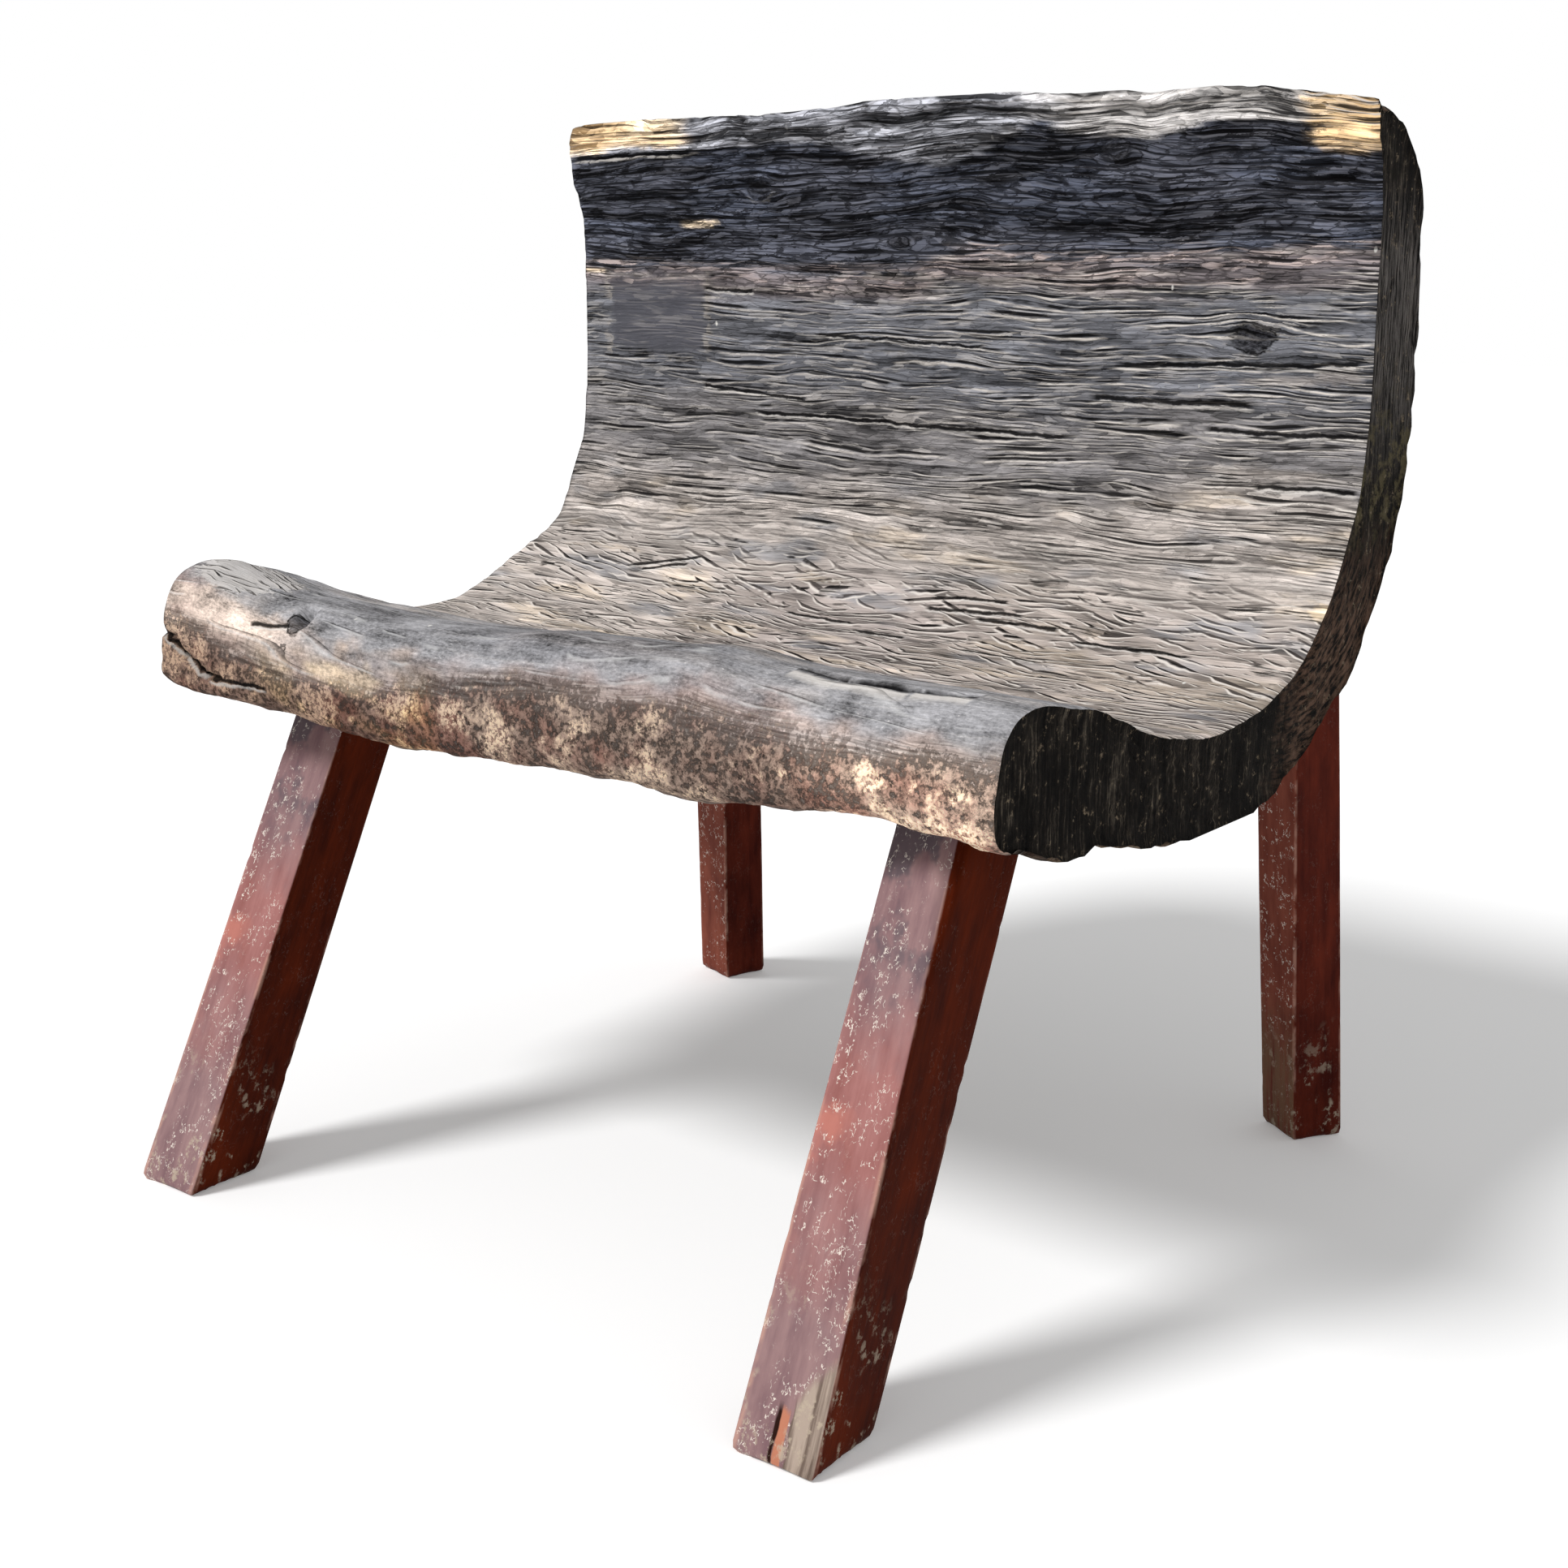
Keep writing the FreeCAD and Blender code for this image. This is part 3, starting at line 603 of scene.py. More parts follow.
def cells(place, feature, scale=1.0):
    return add("ShaderNodeTexVoronoi", {"Vector": place, "Scale": scale}, feature=feature).outputs


def stretch(place, scale, turn=0.0, move=(0, 0, 0)):
    inputs = {"Vector": place, "Scale": scale, "Rotation": (0, 0, math.radians(turn)), "Location": move}
    return add("ShaderNodeMapping", inputs).outputs[0]


def attribute(name):
    return add("ShaderNodeAttribute", attribute_name=name, attribute_type="GEOMETRY").outputs


def ground():
    return add("ShaderNodeTexCoord").outputs["Object"]


def finish(colour, roughness, height, strength, distance, specular):
    bump = add("ShaderNodeBump", {"Height": height, "Strength": strength, "Distance": distance}).outputs[0]
    shader = add("ShaderNodeBsdfPrincipled", {
        "Base Color": colour, "Roughness": roughness, "Normal": bump, "Specular IOR Level": specular})
    add("ShaderNodeOutputMaterial", {0: shader.outputs[0]})


# The log's weathered wood

logLook = {
    # long checks in the wood: from x, to x, run, slope, half width in millimetres
    "checks": [
        (170, 378, 187, -0.03, 1.5), (250, 378, 236, 0.0, 1.5), (296, 378, 275, 0.0, 1.6),
        (-120, 60, 178, 0.02, 1.1), (-190, 150, 246, 0.01, 1.3), (150, 290, 216, 0.0, 1.8),
        (60, 150, 405, -0.05, 1.6), (110, 185, 412, 0.02, 1.7), (80, 130, 392, 0.0, 1.2),
        (200, 300, 424, 0.02, 1.3), (-60, 10, 437, 0.04, 1.4), (20, 66, 448, 0.0, 1.5),
        (120, 190, 455, 0.03, 1.2), (-250, -180, 396, -0.3, 1.6), (-236, -190, 402, -0.3, 1.4),
        (206, 246, 780, 0.2, 7.0), (244, 300, 786, 0.03, 6.0), (300, 340, 782, -0.12, 6.0),
        (-376, -230, 24, 0.0, 1.6), (-240, -120, 228, 0.05, 1.2), (-276, -236, 824, -0.2, 1.6),
        (-378, -320, 860, 0.34, 1.4), (-318, -250, 870, -0.04, 1.4), (-238, -180, 141, 0.0, 1.3),
        (-236, -208, 226, 0.05, 1.6)],
    # knots: x, run, reach along, reach across, how dark
    "knots": [
        (286, 167, 18, 10, 1.0), (170, 38, 13, 8, 0.8), (-174, 58, 13, 8, 0.7), (-30, 100, 11, 4, 0.9),
        (-231, 818, 8, 11, 1.0)],
    "facet": (-326, 776, 50, 36),  # split face at the left end of the roll: x, run, reaches
    "patch": (-291, 164),  # middle of the smooth flaked patch on the back: x, run
    # strands of cracks: spacing, sway, own number, length along the grain, share open at the widest
    "mid": (7.0, 2.4, 9, 85, 0.36), "thin": (3.3, 5.0, 17, 52, 0.44), "hair": (13.0, 5.0, 31, 55, 0.11),
    "strokeOne": (6.0, 3.0, 5, 42, 0.40), "strokeTwo": (7.0, 3.0, 11, 38, 0.36),
    # broken plates: size along, size across, own number
    "bigPlates": (38.0, 7.0, 3), "smallPlates": (17.0, 3.6, 8),
    # colours
    "crack": (7, 6, 7), "stroke": (66, 60, 58), "checkLipHighlight": (230, 224, 218), "chip": (238, 236, 230),
    "lip": (240, 232, 224), "ledgeLipHighlight": (226, 206, 200), "charLipHighlight": (128, 128, 136), "cream": (240, 190, 130),
    "facetDark": (176, 170, 166), "facetPale": (240, 236, 232), "patchDark": (70, 69, 77),
    "patchPale": (92, 91, 99), "patchRim": (190, 182, 174), "barkDark": (92, 86, 82),
    "barkPale": (158, 150, 144), "rust": (216, 180, 176), "lichen": (222, 216, 198), "barkGap": (34, 31, 30),
    "hairHighlight": (222, 221, 220), "dust": (234, 230, 226), "knot": (22, 22, 25), "knotPale": (86, 86, 92),
    "knotHighlight": (200, 194, 188),
}


def logShade(name):
    return linear(*logLook[name])


def readWood():
    # what the mesh says of each place, and the ragged pattern that breaks up every outline
    wood = Notes()
    wood.place = attribute("place")["Vector"]
    wood.along, wood.across, _ = parts(wood.place)
    wood.char, wood.seat, wood.lichen = parts(attribute("finish")["Vector"])
    wood.roll, wood.bark, wood.cream = parts(attribute("roll")["Vector"])
    wood.colour = wood.tone = attribute("tone")["Color"]
    wood.ledge = attribute("tone")["Alpha"]
    wood.spot = ground()
    wood.ragged = minus(noise(stretch(wood.place, (0.07, 0.12, 1)), 3, 0.6), 0.5)
    return wood


def ring(wood, left, down, reachX, reachV):
    # ragged distance from a knot, 1 on its rim
    far = plus(
        maths("POWER", maths("DIVIDE", minus(wood.along, left), reachX), 2.0),
        maths("POWER", maths("DIVIDE", minus(wood.across, down), reachV), 2.0))
    return timesPlus(wood.ragged, 1.3, maths("SQRT", far))


def bendGrain(wood):
    # the grain sways along the log and bends round its knots
    drift = times(minus(noise(stretch(wood.place, (0.006, 0.02, 1)), 2), 0.5), 22)
    bent = plus(wood.across, drift)
    wood.knots = []
    for left, down, reachX, reachV, power in logLook["knots"]:
        far = ring(wood, left, down, reachX, reachV)
        wood.knots.append((far, down, power))
        push = times(minus(wood.across, down), maths("EXPONENT", times(times(far, far), -0.45)))
        bent = timesPlus(push, -0.6 * power, bent)
    wood.grain = vector(wood.along, bent)
    wood.sway = noise(stretch(wood.grain, (0.0034, 0.020, 1)), 2, 0.4)


def strands(wood, space, spacing, bend, number, length, widest, start=0.42, full=0.60):
    # cracks that run with the grain, each opening and closing along its length, with a pale lip under each
    # the crack is painted in shade and the lip as a painted highlight
    run, line, _ = parts(space)
    field = timesPlus(line, 1 / spacing, timesPlus(wood.sway, bend, number))
    cell = maths("FLOOR", field)
    part = maths("FRACT", field)
    here = noise(vector(times(run, 1 / length), times(cell, 3.7), number), 2, 0.55)
    width = reach(here, start, full, 0, widest)
    isOpen = times(width, 30.0, clamp=True)
    crack = times(times(minus(width, part), 9.0, clamp=True), isOpen)
    above = times(minus(part, width), 14.0, clamp=True)
    below = times(minus(timesPlus(width, 1.5, 0.16), part), 7.0, clamp=True)
    lip = times(above, below, isOpen)
    shade = noise(vector(times(run, 0.5 / length), times(cell, 5.3), number + 3), 1, 0.5)
    return crack, lip, minus(shade, 0.5)


def plates(wood, sizeAlong, sizeAcross, number):
    # short broken plates between the cracks, each with its own shade
    jitter = minus(noise(stretch(wood.place, (0.11, 0.3, 1), move=(number, 0, 0)), 3, 0.65), 0.5)
    jitter = times(jitter, 0.9)
    run, line, _ = parts(wood.grain)
    one = timesPlus(run, 1 / sizeAlong, timesPlus(line, 0.06, jitter))
    two = timesPlus(line, 1 / sizeAcross, timesPlus(jitter, 0.8, times(wood.sway, 2.0)))
    place = vector(one, two, number)
    gap = cells(place, "DISTANCE_TO_EDGE")["Distance"]
    return gap, minus(parts(cells(place, "F1")["Color"])[0], 0.5)


def drawGrain(wood):
    wood.fibre = noise(stretch(wood.grain, (0.020, 0.75, 1)), 3, 0.7)
    wood.fade = noise(stretch(wood.place, (0.014, 0.06, 1), move=(2, 9, 0)), 3, 0.6)
    wood.mid = strands(wood, wood.grain, *logLook["mid"])
    wood.thin = strands(wood, wood.grain, *logLook["thin"])
    wood.bigGap, wood.bigShade = plates(wood, *logLook["bigPlates"])
    wood.smallGap, wood.smallShade = plates(wood, *logLook["smallPlates"])

    # hewn strokes of the seat, slanting one way here and another way there
    # their dark undersides are painted shade and their lips painted highlights
    one = strands(wood, stretch(wood.grain, (1, 1, 1), 5), *logLook["strokeOne"])
    two = strands(wood, stretch(wood.grain, (1, 1, 1), -16), *logLook["strokeTwo"])
    turnOver = noise(stretch(wood.place, (0.015, 0.026, 1), move=(5, 5, 0)), 4, 0.6)
    isOne = reach(turnOver, 0.53, 0.49)
    isTwo = reach(turnOver, 0.47, 0.51)
    wood.strokeCrack, wood.strokeLip = [largest(times(one[n], isOne), times(two[n], isTwo)) for n in range(2)]
    wood.strokeShade = plus(times(one[2], 0.7), times(two[2], 0.7))
    wood.facet = reach(ring(wood, *logLook["facet"]), 1.0, 0.9)
    here = reach(noise(stretch(wood.place, (0.02, 0.05, 1), move=(1, 7, 0)), 2), 0.38, 0.41)
    wood.hewn = largest(times(wood.seat, here), wood.facet)


def weighGrain(wood):
    # how strongly each part of the wood shows its lines
    patchX, patchRun = logLook["patch"]
    wood.patchSide = absolute(timesPlus(wood.ragged, 26, plus(wood.along, -patchX)))
    inside = reach(wood.patchSide, 58, 50)
    inside = times(inside, reach(absolute(timesPlus(wood.ragged, 30, minus(wood.across, patchRun))), 38, 28))
    wood.patch = inside
    wood.quiet = largest(times(wood.roll, 0.9), wood.lichen, times(wood.patch, 0.65))
    wood.quiet = times(wood.quiet, timesPlus(wood.facet, -0.9, 1.0))
    strong = minus(1.0, wood.quiet)
    wood.planks = times(strong, minus(1.0, wood.hewn))
    busy = largest(reach(wood.fade, 0.42, 0.52), times(wood.char, 0.85))

    # cracks, painted near black later as painted shade in the gaps
    mid = times(wood.mid[0], wood.planks, busy)
    wood.crack = largest(mid, times(wood.thin[0], wood.planks, reach(busy, 0, 1, 0.35, 0.9)))
    atLedge = largest(timesPlus(wood.char, 0.55, 0.28), times(wood.ledge, 0.7))
    broken = times(wood.planks, atLedge, timesPlus(wood.cream, -0.75, 1.0))
    bigPlates = times(reach(wood.bigGap, 0.04, 0.09, 1, 0), reach(wood.fade, 0.46, 0.54))
    smallPlates = times(reach(wood.smallGap, 0.02, 0.09, 1, 0), reach(wood.fade, 0.54, 0.46), 0.8)
    wood.crack = largest(wood.crack, times(largest(bigPlates, smallPlates), broken))
    wood.stroke = times(wood.strokeCrack, strong, wood.hewn)

    # pale lips, painted as highlights
    lift = times(reach(wood.along, -300, 330, 0.5, 1.0), timesPlus(wood.char, -0.45, 1.0))
    lip = largest(times(wood.mid[1], busy, 0.95), times(wood.thin[1], busy, 0.4))
    lip = largest(times(lip, wood.planks, lift), times(wood.strokeLip, strong, wood.hewn, 0.9))
    flakedLipHighlight = times(
        reach(wood.smallShade, 0.30, 0.38), largest(times(wood.ledge, 0.8), times(wood.planks, 0.35)),
        reach(wood.fade, 0.40, 0.5))
    wood.lip = largest(lip, times(flakedLipHighlight, 0.85))


def lay(wood, share, shade):
    # lays a shade over the wood
    wood.colour = blend(share, wood.colour, shade)


def shadeGrain(wood):
    light = timesPlus(minus(wood.fibre, 0.5), 2.5, timesPlus(wood.planks, 0.12, 1.02))
    wood.plain = timesPlus(wood.thin[2], 1.9, times(wood.mid[2], 2.8))
    light = plus(light, between(wood.hewn, wood.plain, times(wood.strokeShade, 3.4)))
    light = timesPlus(timesPlus(wood.bigShade, 0.5, times(wood.smallShade, 0.7)), wood.planks, light)
    light = plus(light, times(minus(light, 0.95), wood.char, 1.7))
    light = maths("MINIMUM", largest(light, 0.14), 3.0)
    light = between(wood.quiet, light, 1.0)
    wood.colour = scaled(wood.colour, light)

    patchShade = blend(wood.fade, logShade("patchDark"), logShade("patchPale"))
    patchLight = timesPlus(wood.fibre, 0.8, times(wood.fade, 1.2))
    lay(wood, times(wood.patch, 0.7), scaled(patchShade, patchLight))
    lay(wood, times(wood.cream, reach(wood.sway, 0.46, 0.66, 0, 0.5)), logShade("cream"))
    # painted highlights on the lips: pale on the planks, pinker on the ledge, grey on the charred wood
    charred = minus(wood.char, wood.ledge, clamp=True)
    paleLip = blend(wood.ledge, logShade("lip"), logShade("ledgeLipHighlight"))
    lay(wood, wood.lip, blend(charred, paleLip, logShade("charLipHighlight")))
    lay(wood, times(wood.facet, 0.7), blend(wood.fibre, logShade("facetDark"), logShade("facetPale")))
    # painted shade on the underside of each hewn stroke
    lay(wood, times(wood.stroke, 0.9), logShade("stroke"))
    beside = times(reach(wood.patchSide, 55, 57), reach(wood.patchSide, 63, 59))
    level = reach(absolute(minus(wood.across, logLook["patch"][1])), 42, 34)
    lay(wood, times(times(beside, level, reach(wood.fade, 0.42, 0.5)), 0.5), logShade("patchRim"))
    # the deepest strokes join the cracks, painted black as shade
    here = reach(noise(stretch(wood.place, (0.02, 0.06, 1), move=(3, 3, 8)), 2), 0.53, 0.58)
    wood.deepStroke = times(wood.stroke, here)


def growCrust(wood):
    # bark and lichen of the lower roll
    crust = noise(wood.spot, 6, 0.78, 190)
    patches = noise(wood.spot, 5, 0.66, 26)
    flake = cells(wood.spot, "F1", 330.0)["Color"]
    mix = timesPlus(crust, 0.62, times(patches, 0.38))
    wood.mix = timesPlus(minus(parts(flake)[0], 0.5), 0.07, mix)
    grit = noise(wood.spot, 3, 0.7, 420)
    base = blend(reach(wood.mix, 0.44, 0.56), logShade("barkDark"), logShade("barkPale"))
    creamy = reach(patches, 0.49, 0.57)
    creamy = times(creamy, reach(timesPlus(grit, 0.5, times(crust, 0.5)), 0.47, 0.53))
    rust = times(reach(noise(wood.spot, 4, 0.6, 14), 0.46, 0.60), 0.8)
    base = blend(rust, base, logShade("rust"), "MULTIPLY")
    base = blend(times(creamy, 0.85), base, logShade("lichen"))
    gaps = reach(timesPlus(patches, 0.3, times(crust, 0.7)), 0.46, 0.41)
    base = blend(times(gaps, 0.9), base, logShade("barkGap"))
    wood.crustShade = scaled(blend(1.0, base, wood.tone, "MULTIPLY"), timesPlus(wood.bark, -0.6, 4.9))
    wood.crusted = times(
        largest(wood.lichen, times(wood.bark, 0.7)),
        reach(timesPlus(minus(wood.mix, 0.5), 5.0, wood.lichen), 0.2, 0.75))
    wood.crusted = largest(wood.crusted, times(wood.bark, 0.8))


def wearRoll(wood):
    # haze, specks and hair cracks on the worn roll, and the crust below it
    worn = times(wood.roll, minus(1.0, wood.lichen), minus(1.0, wood.facet))
    wood.haze = noise(wood.spot, 6, 0.72, 24)
    wood.speck = noise(stretch(wood.place, (0.25, 0.5, 1)), 3, 0.7)
    drawn = noise(stretch(wood.place, (0.022, 0.07, 1), 4), 4, 0.62)
    light = timesPlus(minus(drawn, 0.5), 2.6, 0.98)
    light = timesPlus(minus(wood.haze, 0.5), 2.4, timesPlus(minus(wood.speck, 0.5), 2.2, light))
    lay(wood, worn, scaled(wood.colour, light))
    # hair cracks in painted shade, with a painted highlight on each lip
    space = stretch(wood.place, (1, 1, 1), -3)
    hairCrack, hairHighlight, _ = strands(wood, space, *logLook["hair"], start=0.46, full=0.62)
    hairLine = times(hairCrack, worn)
    lay(wood, times(hairHighlight, worn, 0.5), logShade("hairHighlight"))
    dust = times(worn, reach(wood.speck, 0.66, 0.72))
    lay(wood, times(dust, 0.8), logShade("dust"))
    lay(wood, wood.crusted, wood.crustShade)
    wood.crack = largest(wood.crack, times(wood.deepStroke, 0.9), times(hairLine, 0.85))


def markKnots(wood):
    # darker wood, with a broken rim painted black as shade and a painted highlight on the lower edge
    for far, down, power in wood.knots:
        core = reach(far, 1.05, 0.75, 0, power)
        rim = times(reach(far, 0.78, 0.92), reach(far, 1.2, 1.0), reach(wood.fibre, 0.40, 0.52), power)
        below = times(
            reach(far, 1.05, 1.15), reach(far, 1.5, 1.25), reach(minus(wood.across, down), 0, 4),
            reach(wood.fade, 0.45, 0.53), power)
        lay(wood, times(core, 0.8), blend(
            reach(wood.speck, 0.42, 0.62), logShade("knot"), logShade("knotPale")))
        lay(wood, times(below, 0.35), logShade("knotHighlight"))
        wood.crack = largest(wood.crack, rim)


def markChecks(wood):
    # checks at known places, each with a painted highlight on its lower lip, then all cracks in black as
    # painted shade
    wobble = times(minus(noise(stretch(wood.place, (0.02, 0.002, 1)), 2), 0.5), 7)
    straight = plus(wood.across, timesPlus(wood.ragged, 5, wobble))
    for start, end, down, slope, width in logLook["checks"]:
        middle = (start + end) / 2
        far = minus(straight, timesPlus(minus(wood.along, middle), slope, down))
        taper = absolute(maths("DIVIDE", minus(wood.along, middle), (end - start) / 2))
        taper = reach(minus(1.0, maths("POWER", taper, 3.0)), 0.0, 0.3)
        wood.crack = largest(wood.crack, times(reach(absolute(far), width * 0.6, width * 1.4, 1, 0), taper))
        edge = times(reach(far, width, width * 1.4), reach(far, width * 3.0, width * 2.0), taper)
        lay(wood, times(edge, 0.7), logShade("checkLipHighlight"))
    lay(wood, times(wood.crack, 0.95), logShade("crack"))


def chipWood(wood):
    # a few white chips
    chip = cells(stretch(wood.place, (0.045, 0.026, 1)), "F1")
    chosen = parts(chip["Color"])[0]
    chips = times(reach(chip["Distance"], 0.04, 0.07, 1, 0), reach(chosen, 0.78, 0.80))
    lay(wood, times(chips, minus(0.9, largest(wood.bark, wood.char, wood.lichen))), logShade("chip"))


def raiseWood(wood):
    height = timesPlus(between(wood.hewn, wood.plain, wood.strokeShade), 0.6, times(wood.fibre, 0.6))
    height = times(height, timesPlus(wood.quiet, -0.9, 1.0))
    height = timesPlus(largest(wood.crack, times(wood.stroke, 0.7)), -0.9, height)
    height = timesPlus(times(wood.mix, wood.crusted), 4.0, height)
    return timesPlus(times(wood.haze, wood.roll), 0.8, height)


def makeLogMaterial():
    material = startMaterial("weatheredLog")
    wood = readWood()
    bendGrain(wood)
    drawGrain(wood)
    weighGrain(wood)
    shadeGrain(wood)
    growCrust(wood)
    wearRoll(wood)
    markKnots(wood)
    markChecks(wood)
    chipWood(wood)
    height = raiseWood(wood)
    finish(wood.colour, timesPlus(wood.fibre, 0.25, 0.62), height, 1.0, 0.0018, 0.03)
    return material


# The log's sawn ends

sawnLook = {
    "stops": [(0.40, (4, 3, 3)), (0.48, (24, 21, 19)), (0.54, (46, 41, 36)), (0.62, (112, 103, 91))],
    "centre": (0.135, 0.52),  # of the growth rings, y and z in metres
    "ringDark": (12, 9, 8), "ringPale": (142, 112, 94), "upper": (140, 134, 130), "moss": (122, 112, 84),
    "fleck": (168, 150, 126),
}


def makeSawnMaterial():
    material = startMaterial("sawnEnd")
    look = sawnLook
    spot = ground()
    _, back, height = parts(spot)
    saw = noise(stretch(spot, (30, 560, 34)), 5, 0.72)
    broad = noise(stretch(spot, (10, 60, 20)), 4, 0.62)
    fuzz = noise(spot, 6, 0.72, 150)

    # growth rings curl round the heel, saw marks run upright elsewhere
    centreY, centreZ = look["centre"]
    far = maths("SQRT", plus(
        maths("POWER", minus(back, centreY), 2.0), maths("POWER", minus(height, centreZ), 2.0)))
    turn = maths("ARCTAN2", minus(height, centreZ), minus(back, centreY))
    rings = noise(vector(times(far, 260.0), times(turn, 9.0)), 4, 0.65)
    heel = times(reach(timesPlus(broad, 0.10, back), 0.16, 0.21), reach(height, 0.50, 0.42))
    value = timesPlus(fuzz, 0.2, timesPlus(saw, 0.45, times(broad, 0.35)))
    shades = add("ShaderNodeValToRGB", {0: value})
    while len(shades.color_ramp.elements) < len(look["stops"]):
        shades.color_ramp.elements.new(0.5)
    for element, (where, shade) in zip(shades.color_ramp.elements, look["stops"]):
        element.position = where
        element.color = (*linear(*shade), 1)
    ringShade = blend(reach(rings, 0.42, 0.60), linear(*look["ringDark"]), linear(*look["ringPale"]))
    colour = blend(times(heel, 0.75), shades.outputs[0], ringShade)
    upper = times(reach(height, 0.52, 0.60), reach(height, 0.74, 0.68))
    colour = blend(times(upper, reach(saw, 0.44, 0.60, 0, 0.85)), colour, linear(*look["upper"]))
    moss = reach(noise(spot, 5, 0.7, 60), 0.50, 0.60)
    moss = times(moss, times(reach(height, 0.47, 0.50), reach(height, 0.60, 0.55)))
    colour = blend(times(moss, 0.7), colour, linear(*look["moss"]))
    colour = blend(reach(fuzz, 0.60, 0.68, 0, 0.8), colour, linear(*look["fleck"]))
    relief = plus(times(saw, 1.8), timesPlus(broad, 1.5, times(fuzz, 1.2)))
    relief = timesPlus(times(rings, heel), 0.6, relief)
    finish(colour, 0.72, relief, 1.0, 0.003, 0.03)
    return material


# The legs, in millimetres and degrees

legSettings = {
    "across": 13,  # mesh steps on each face
    "along": 190,
    "arris": 1.2,
    "footRound": 7.0,
    "spare": 10.0,  # each timber runs this far past its shoulder, inside the log
    "belowFloor": 40.0,  # and this far below the floor, before its foot is cut level
    # widths at foot and shoulder, tenon, how far the planed faces stand out
    "front": {"foot": 57, "top": 53, "tenonWidth": 34, "tenonLength": 44, "stand": 0.5},
    "rear": {"foot": 44, "top": 42.5, "tenonWidth": 28, "tenonLength": 34, "stand": 0.05},
    # places of the shoulder and the foot, turns about its own axis at the foot and at the shoulder
    "front_left_leg": {"shoulder": (-263, -150), "foot": (-272.5, -311), "turns": (2, 2)},
    "front_right_leg": {"shoulder": (309, -169), "foot": (306.5, -322.5), "turns": (2, -14)},
    "rear_left_leg": {"shoulder": (-206, 235), "foot": (-267, 326.5), "turns": (-18, -12)},
    "rear_right_leg": {"shoulder": (341, 228), "foot": (332, 309), "turns": (-33, -21)},
}


def pickFaces(test):
    # in edit mode, selects the faces that pass the test and nothing else
    bpy.ops.mesh.select_all(action="DESELECT")
    bpy.ops.object.mode_set(mode="OBJECT")
    for face in bpy.context.object.data.polygons:
        face.select = bool(test(face))
    bpy.ops.object.mode_set(mode="EDIT")


def pickEdges(test):
    # the same for edges, by their two ends
    bpy.ops.mesh.select_all(action="DESELECT")
    bpy.ops.mesh.select_mode(type="EDGE")
    bpy.ops.object.mode_set(mode="OBJECT")
    mesh = bpy.context.object.data
    for edge in mesh.edges:
        edge.select = bool(test(*(mesh.vertices[end].co for end in edge.vertices)))
    bpy.ops.object.mode_set(mode="EDIT")


def readPoints(mesh):
    points = np.zeros(len(mesh.vertices) * 3)
    mesh.vertices.foreach_get("co", points)
    return points.reshape(-1, 3)


def writePoints(mesh, points):
    mesh.vertices.foreach_set("co", points.ravel())
    mesh.update()


def leanLeg(name):
    # axis and length of a leg, from its foot and the top of its CAD tenon
    timber = legSettings["rear" if name.startswith("rear") else "front"]
    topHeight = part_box(name)[1].z * 1000
    lean = Notes()
    lean.foot = Vector((*legSettings[name]["foot"], 0.0))
    rise = topHeight
    for _ in range(20):
        axis = (Vector((*legSettings[name]["shoulder"], rise)) - lean.foot).normalized()
        rim = (timber["tenonWidth"] / 2 - 1.0) * math.hypot(axis.x, axis.y)
        rise = topHeight - timber["tenonLength"] * axis.z - rim
    lean.axis = axis
    lean.length = (Vector((*legSettings[name]["shoulder"], rise)) - lean.foot).length
    side = (Vector((1, 0, 0)) - axis * axis.x).normalized()
    lean.rows = np.array([side, axis.cross(side), axis])
    return lean


def cutTimber(name, timber, length):
    # a tapered square timber with eased arrises, upright and finely divided
    below, above = legSettings["belowFloor"], length + legSettings["spare"]
    bpy.ops.object.select_all(action="DESELECT")
    bpy.ops.mesh.primitive_cube_add(size=1, location=(0, 0, 0))
    leg = bpy.context.object
    leg.name = name + "_timber"
    bpy.ops.object.mode_set(mode="EDIT")
    bpy.ops.mesh.select_all(action="SELECT")
    bpy.ops.transform.resize(
        value=(timber["foot"], timber["foot"], above + below), center_override=(0, 0, 0))
    bpy.ops.transform.translate(value=(0, 0, (above - below) / 2))
    bpy.ops.mesh.select_mode(type="FACE")
    pickFaces(lambda face: face.normal.z > 0.9)
    taper = timber["top"] / timber["foot"]
    bpy.ops.transform.resize(value=(taper, taper, 1), center_override=(0, 0, 0))
    pickEdges(lambda a, b: abs(a.z - b.z) > 100)
    bpy.ops.mesh.bevel(offset=legSettings["arris"], segments=3, affect="EDGES")
    pickEdges(lambda a, b: abs(a.z - b.z) > 100)
    bpy.ops.mesh.subdivide(number_cuts=legSettings["along"])
    pickEdges(lambda a, b: abs(a.z - b.z) < 1 and (a - b).length > timber["foot"] / 2)
    bpy.ops.mesh.subdivide(number_cuts=legSettings["across"])
    bpy.ops.object.mode_set(mode="OBJECT")
    return leg


